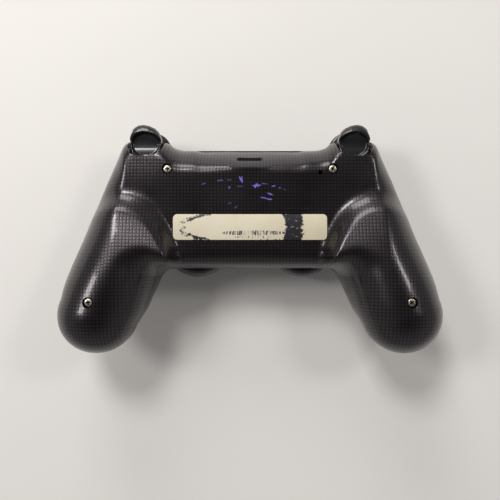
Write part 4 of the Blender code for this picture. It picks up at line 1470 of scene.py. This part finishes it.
@dataclass
class Bumper:
    """A bumper: a rounded bar in front of the trigger, on an arm that turns on an upright pin."""

    side: Side
    axis: Point = (31.0, 33.8)
    low: float = 12.2
    high: float = 19.1
    bar: tuple[Point, ...] = ((35.9, 39.4), (35.9, 41.8), (36.9, 43.9), (39.4, 46.1), (43.0, 47.3), (48.2, 46.6),
                              (51.2, 44.0), (52.3, 40.8), (52.3, 39.4))

    def build(self, material: bpy.types.Material) -> None:
        """Builds and dresses the bumper.

        Args:
            material: Its finish.
        """
        sign = self.side.value
        front = [tuple(p) for p in spread_along(self.bar[1:-1], 28)]
        outline = [(sign * x, y) for x, y in (self.bar[0], *front, self.bar[-1])]
        obj = piece_from(slab(outline, self.low, self.high, 1.0), f"{self.side.label}_bumper_skin")
        arm = [(29.4, 32.1), (32.6, 32.1), (36.6, 35.4), (37.6, 36.3), (37.6, 38.0), (36.2, 38.0), (36.0, 36.3),
               (34.4, 35.5), (29.4, 35.5)]
        carve(obj, [
            (JOIN, box((sign * 35.9, 36.5, self.low + 0.01), (sign * 52.3, 41.2, 16.4))),
            (JOIN, slab([(sign * x, y) for x, y in arm], 15.4, 17.2)),
            (CUT, rod((sign * self.axis[0], self.axis[1], 10), (sign * self.axis[0], self.axis[1], 20), 1.1)),
        ])
        dress(obj, material, f"{self.side.label}_bumper", (f"{self.side.label}_bumper",))


# ---------------------------------------------------------------- the face and the trim


@dataclass
class FaceControls:
    """Buttons, direction pad, touchpad and light bar."""

    shells: Shells

    def build(self, finishes: dict[str, bpy.types.Material]) -> None:
        """Builds and dresses every control on the face.

        Args:
            finishes: All materials by name.
        """
        self._action_buttons(finishes["button_face"])
        self._direction_pad(finishes["button_face"])
        self._small_buttons(finishes["black_plastic"], finishes["button_face"])
        touch = slab(rounded_box_outline((0, self.shells.touch_y), *self.shells.touch_half, 2.5), 11.0, 12.6, 0.5,
                     top_only=True)
        dress(piece_from(touch, "touchpad_skin"), finishes["black_plastic"], "touchpad", ("touchpad",))
        lens = [(-22.2, 36.2), (-22.2, 37.6), (-21.8, 38.3), (-21.0, 38.65), (21.0, 38.65), (21.8, 38.3), (22.2, 37.6),
                (22.2, 36.2)]
        dress(piece_from(slab(lens, 15.5, 19.8, 0.35), "light_bar_skin"), finishes["lens"], HOUSING,
              ("light_bar_lens",))

    def _action_buttons(self, material: bpy.types.Material) -> None:
        """Four domed buttons, told apart by one to four raised dots.

        Args:
            material: Its finish.
        """
        radius = self.shells.button_radius
        dome = arc((radius - 0.9, 9.9), 0.9, 90, 160, 6)
        shape = [(0, 15.2), (4.7, 15.2), (4.7, 14.4), (radius, 14.1), *dome, (2.0, 8.9), (0, 8.85)]
        for k, centre in enumerate(self.shells.button_places()):
            obj = piece_from(turned("button", shape, (*centre, 0), 56), f"action_button_{k + 1}_skin")
            dots = []
            for j in range(k + 1):
                angle = 2 * math.pi * j / (k + 1)
                reach = 0.0 if k == 0 else 1.3
                spot = (centre[0] + reach * math.cos(angle), centre[1] + reach * math.sin(angle), 9.05)
                ball = bmesh.new()
                bmesh.ops.create_uvsphere(ball, u_segments=14, v_segments=8, radius=0.42,
                                          matrix=Matrix.Translation(spot) @ Matrix.Diagonal((1, 1, 0.7, 1)))
                dots.append((JOIN, ball))
            carve(obj, dots)
            dress(obj, material, f"action_button_{k + 1}", (f"action_button_{k + 1}",))

    def _direction_pad(self, material: bpy.types.Material) -> None:
        """A cross with rounded edges, a dished middle and a groove on each arm.

        Args:
            material: Its finish.
        """
        obj = piece_from(slab(self.shells.pad_outline(0.0), 9.8, 14.4, 0.7, top_only=True), "direction_pad_skin")
        x, y = self.shells.cluster
        ball = bmesh.new()
        bmesh.ops.create_uvsphere(ball, u_segments=40, v_segments=24, radius=9.0,
                                  matrix=Matrix.Translation((x, y, 1.3)))
        cuts = [(CUT, ball)]
        for across, along in ((1, 0), (0, 1), (-1, 0), (0, -1)):
            centre = Vector((x + 6.6 * across, y + 6.6 * along, 9.8))
            half = Vector((0.35 + 1.1 * abs(along), 0.35 + 1.1 * abs(across), 0.35))
            cuts.append((CUT, box(tuple(centre - half), tuple(centre + half))))
        carve(obj, cuts)
        dress(obj, material, "direction_pad", ("direction_pad",))

    def _small_buttons(self, satin: bpy.types.Material, gloss: bpy.types.Material) -> None:
        """The two pills beside the touchpad and the round home button.

        Args:
            satin: Finish of the pills.
            gloss: Finish of the home button.
        """
        for name, sign in (("share", 1), ("options", -1)):
            x, y = self.shells.pill
            outline = rounded_box_outline((sign * x, y), *self.shells.pill_half, 1.25)
            obj = piece_from(slab(outline, 10.9, 13.8, 0.4, top_only=True), f"{name}_button_skin")
            dress(obj, satin, f"{name}_button", (f"{name}_button",))
        radius = self.shells.home_radius
        rim = arc((radius - 0.6, 11.5), 0.6, 90, 175, 6)
        shape = [(0, 14.6), (4.5, 14.6), (4.5, 13.9), (radius, 13.8), *rim, (2.4, 11.05), (0, 11.15)]
        obj = piece_from(turned("home", shape, (0, self.shells.home_y, 0), 56), "home_button_skin")
        dress(obj, gloss, "home_button", ("home_button",))


@dataclass
class RearLabel:
    """The thin label in its shallow bed."""

    shells: Shells
    low: float = 37.25
    high: float = 37.55

    def build(self, material: bpy.types.Material) -> None:
        """Builds and dresses the label.

        Args:
            material: Its finish.
        """
        outline = rounded_box_outline((0, self.shells.label_y), *self.shells.label_half, 1.8, 12)
        obj = piece_from(slab(outline, self.low, self.high, 0.06, segments=2), "rear_label_skin")
        dress(obj, material, HOUSING, ("rear_label",))


def dress_carried_nodes(finishes: dict[str, bpy.types.Material]) -> None:
    """Gives every CAD node that stays in view the material of its slot.

    Args:
        finishes: All materials by name.
    """
    slots = {part["node"]: part["material_slot"] for part in frame["record"]["subparts"]}
    for name, node in frame["nodes"].items():
        node.data.materials.clear()
        node.data.materials.append(finishes[slots[name]])
    log.info("%d frame nodes have their slot's material", len(slots))


# ---------------------------------------------------------------- floor, lights and camera


@dataclass(frozen=True)
class SoftBox:
    """A square area light that points at the gamepad."""

    name: str
    place_m: Triple
    size_m: float
    watts: float
    colour: Triple = (1.0, 0.985, 0.96)

    def build(self) -> None:
        """Adds the light."""
        data = bpy.data.lights.new(self.name, "AREA")
        data.shape = "SQUARE"
        data.size = self.size_m
        data.energy = self.watts
        data.color = self.colour
        obj = bpy.data.objects.new(self.name, data)
        obj.location = self.place_m
        obj.rotation_euler = (Vector((0, 0, 0.02)) - Vector(self.place_m)).to_track_quat("-Z", "Y").to_euler()
        bpy.context.scene.collection.objects.link(obj)


@dataclass
class Studio:
    """A pale table, soft lamps, a dim pale room and a camera straight above."""

    camera_height_m: float = 0.300
    camera_y_m: float = -0.00545
    focal_mm: float = 45.0
    sensor_mm: float = 36.0
    table_half_m: float = 3.0
    wall_strength: float = 0.36
    ceiling_strength: float = 0.06
    lamps: tuple[SoftBox, ...] = (
        SoftBox("key", (-0.30, 0.68, 1.00), 0.30, 6.6),
        SoftBox("window", (-0.22, 1.10, 0.54), 0.46, 4.6),
        SoftBox("left", (-0.68, 0.22, 0.85), 0.26, 3.2),
        SoftBox("right", (0.62, 0.34, 0.85), 0.18, 1.5),
    )

    def build(self) -> None:
        """Adds the table, the lamps, the room and the camera."""
        bpy.context.scene.view_settings.view_transform = "Standard"
        s = Shader("table_laminate")
        s.feed("Base Color", s.mix(s.noise(9.0, 4.0), (0.77, 0.745, 0.72), (0.82, 0.795, 0.77)))
        s.feed("Normal", s.bump(s.noise(900.0, 3.0), 0.02, 0.25))
        s.set(Roughness=0.55)
        bm = bmesh.new()
        bmesh.ops.create_grid(bm, x_segments=1, y_segments=1, size=self.table_half_m / MM)
        table = piece_from(bm, "table")
        table.data.materials.append(s.material)
        for lamp in self.lamps:
            lamp.build()
        self._room()
        data = bpy.data.cameras.new("overhead")
        data.lens = self.focal_mm
        data.sensor_width = self.sensor_mm
        camera = bpy.data.objects.new("overhead", data)
        camera.location = (0.0, self.camera_y_m, self.camera_height_m)
        bpy.context.scene.collection.objects.link(camera)
        bpy.context.scene.camera = camera

    def _room(self) -> None:
        """Adds a pale room with a dim ceiling."""
        world = bpy.data.worlds.new("pale room")
        world.use_nodes = True
        nodes, links = world.node_tree.nodes, world.node_tree.links
        place = nodes.new("ShaderNodeTexCoord")
        split = nodes.new("ShaderNodeSeparateXYZ")
        level = nodes.new("ShaderNodeMapRange")
        for socket, value in zip(("From Min", "From Max", "To Min", "To Max"),
                                 (0.45, 0.95, self.wall_strength, self.ceiling_strength)):
            level.inputs[socket].default_value = value
        links.new(place.outputs["Generated"], split.inputs[0])
        links.new(split.outputs["Z"], level.inputs["Value"])
        sky = nodes["Background"]
        links.new(level.outputs["Result"], sky.inputs["Strength"])
        sky.inputs["Color"].default_value = (1.0, 0.985, 0.97, 1.0)
        bpy.context.scene.world = world


def main() -> None:
    """Builds every piece of the gamepad and its setting."""
    logging.basicConfig(level=logging.INFO, format="%(name)s: %(message)s")
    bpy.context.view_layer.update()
    finishes = Finishes().build_all()
    dress_carried_nodes(finishes)
    shells = Shells(BodyForm())
    shells.build_rear(finishes["gloss_shell"])
    shells.build_front(finishes["gloss_shell"], Grille().shape(finishes["black_plastic"]))
    CaseScrews(shells).build(finishes["screw_steel"])
    for side in Side:
        Trigger(side).build(finishes["gloss_trim"])
        Bumper(side).build(finishes["gloss_trim"])
        ThumbStick(side, *shells.stick).build(finishes["rubber"])
    FaceControls(shells).build(finishes)
    RearLabel(shells).build(finishes["label"])
    Studio().build()


if __name__ == "__main__":
    main()
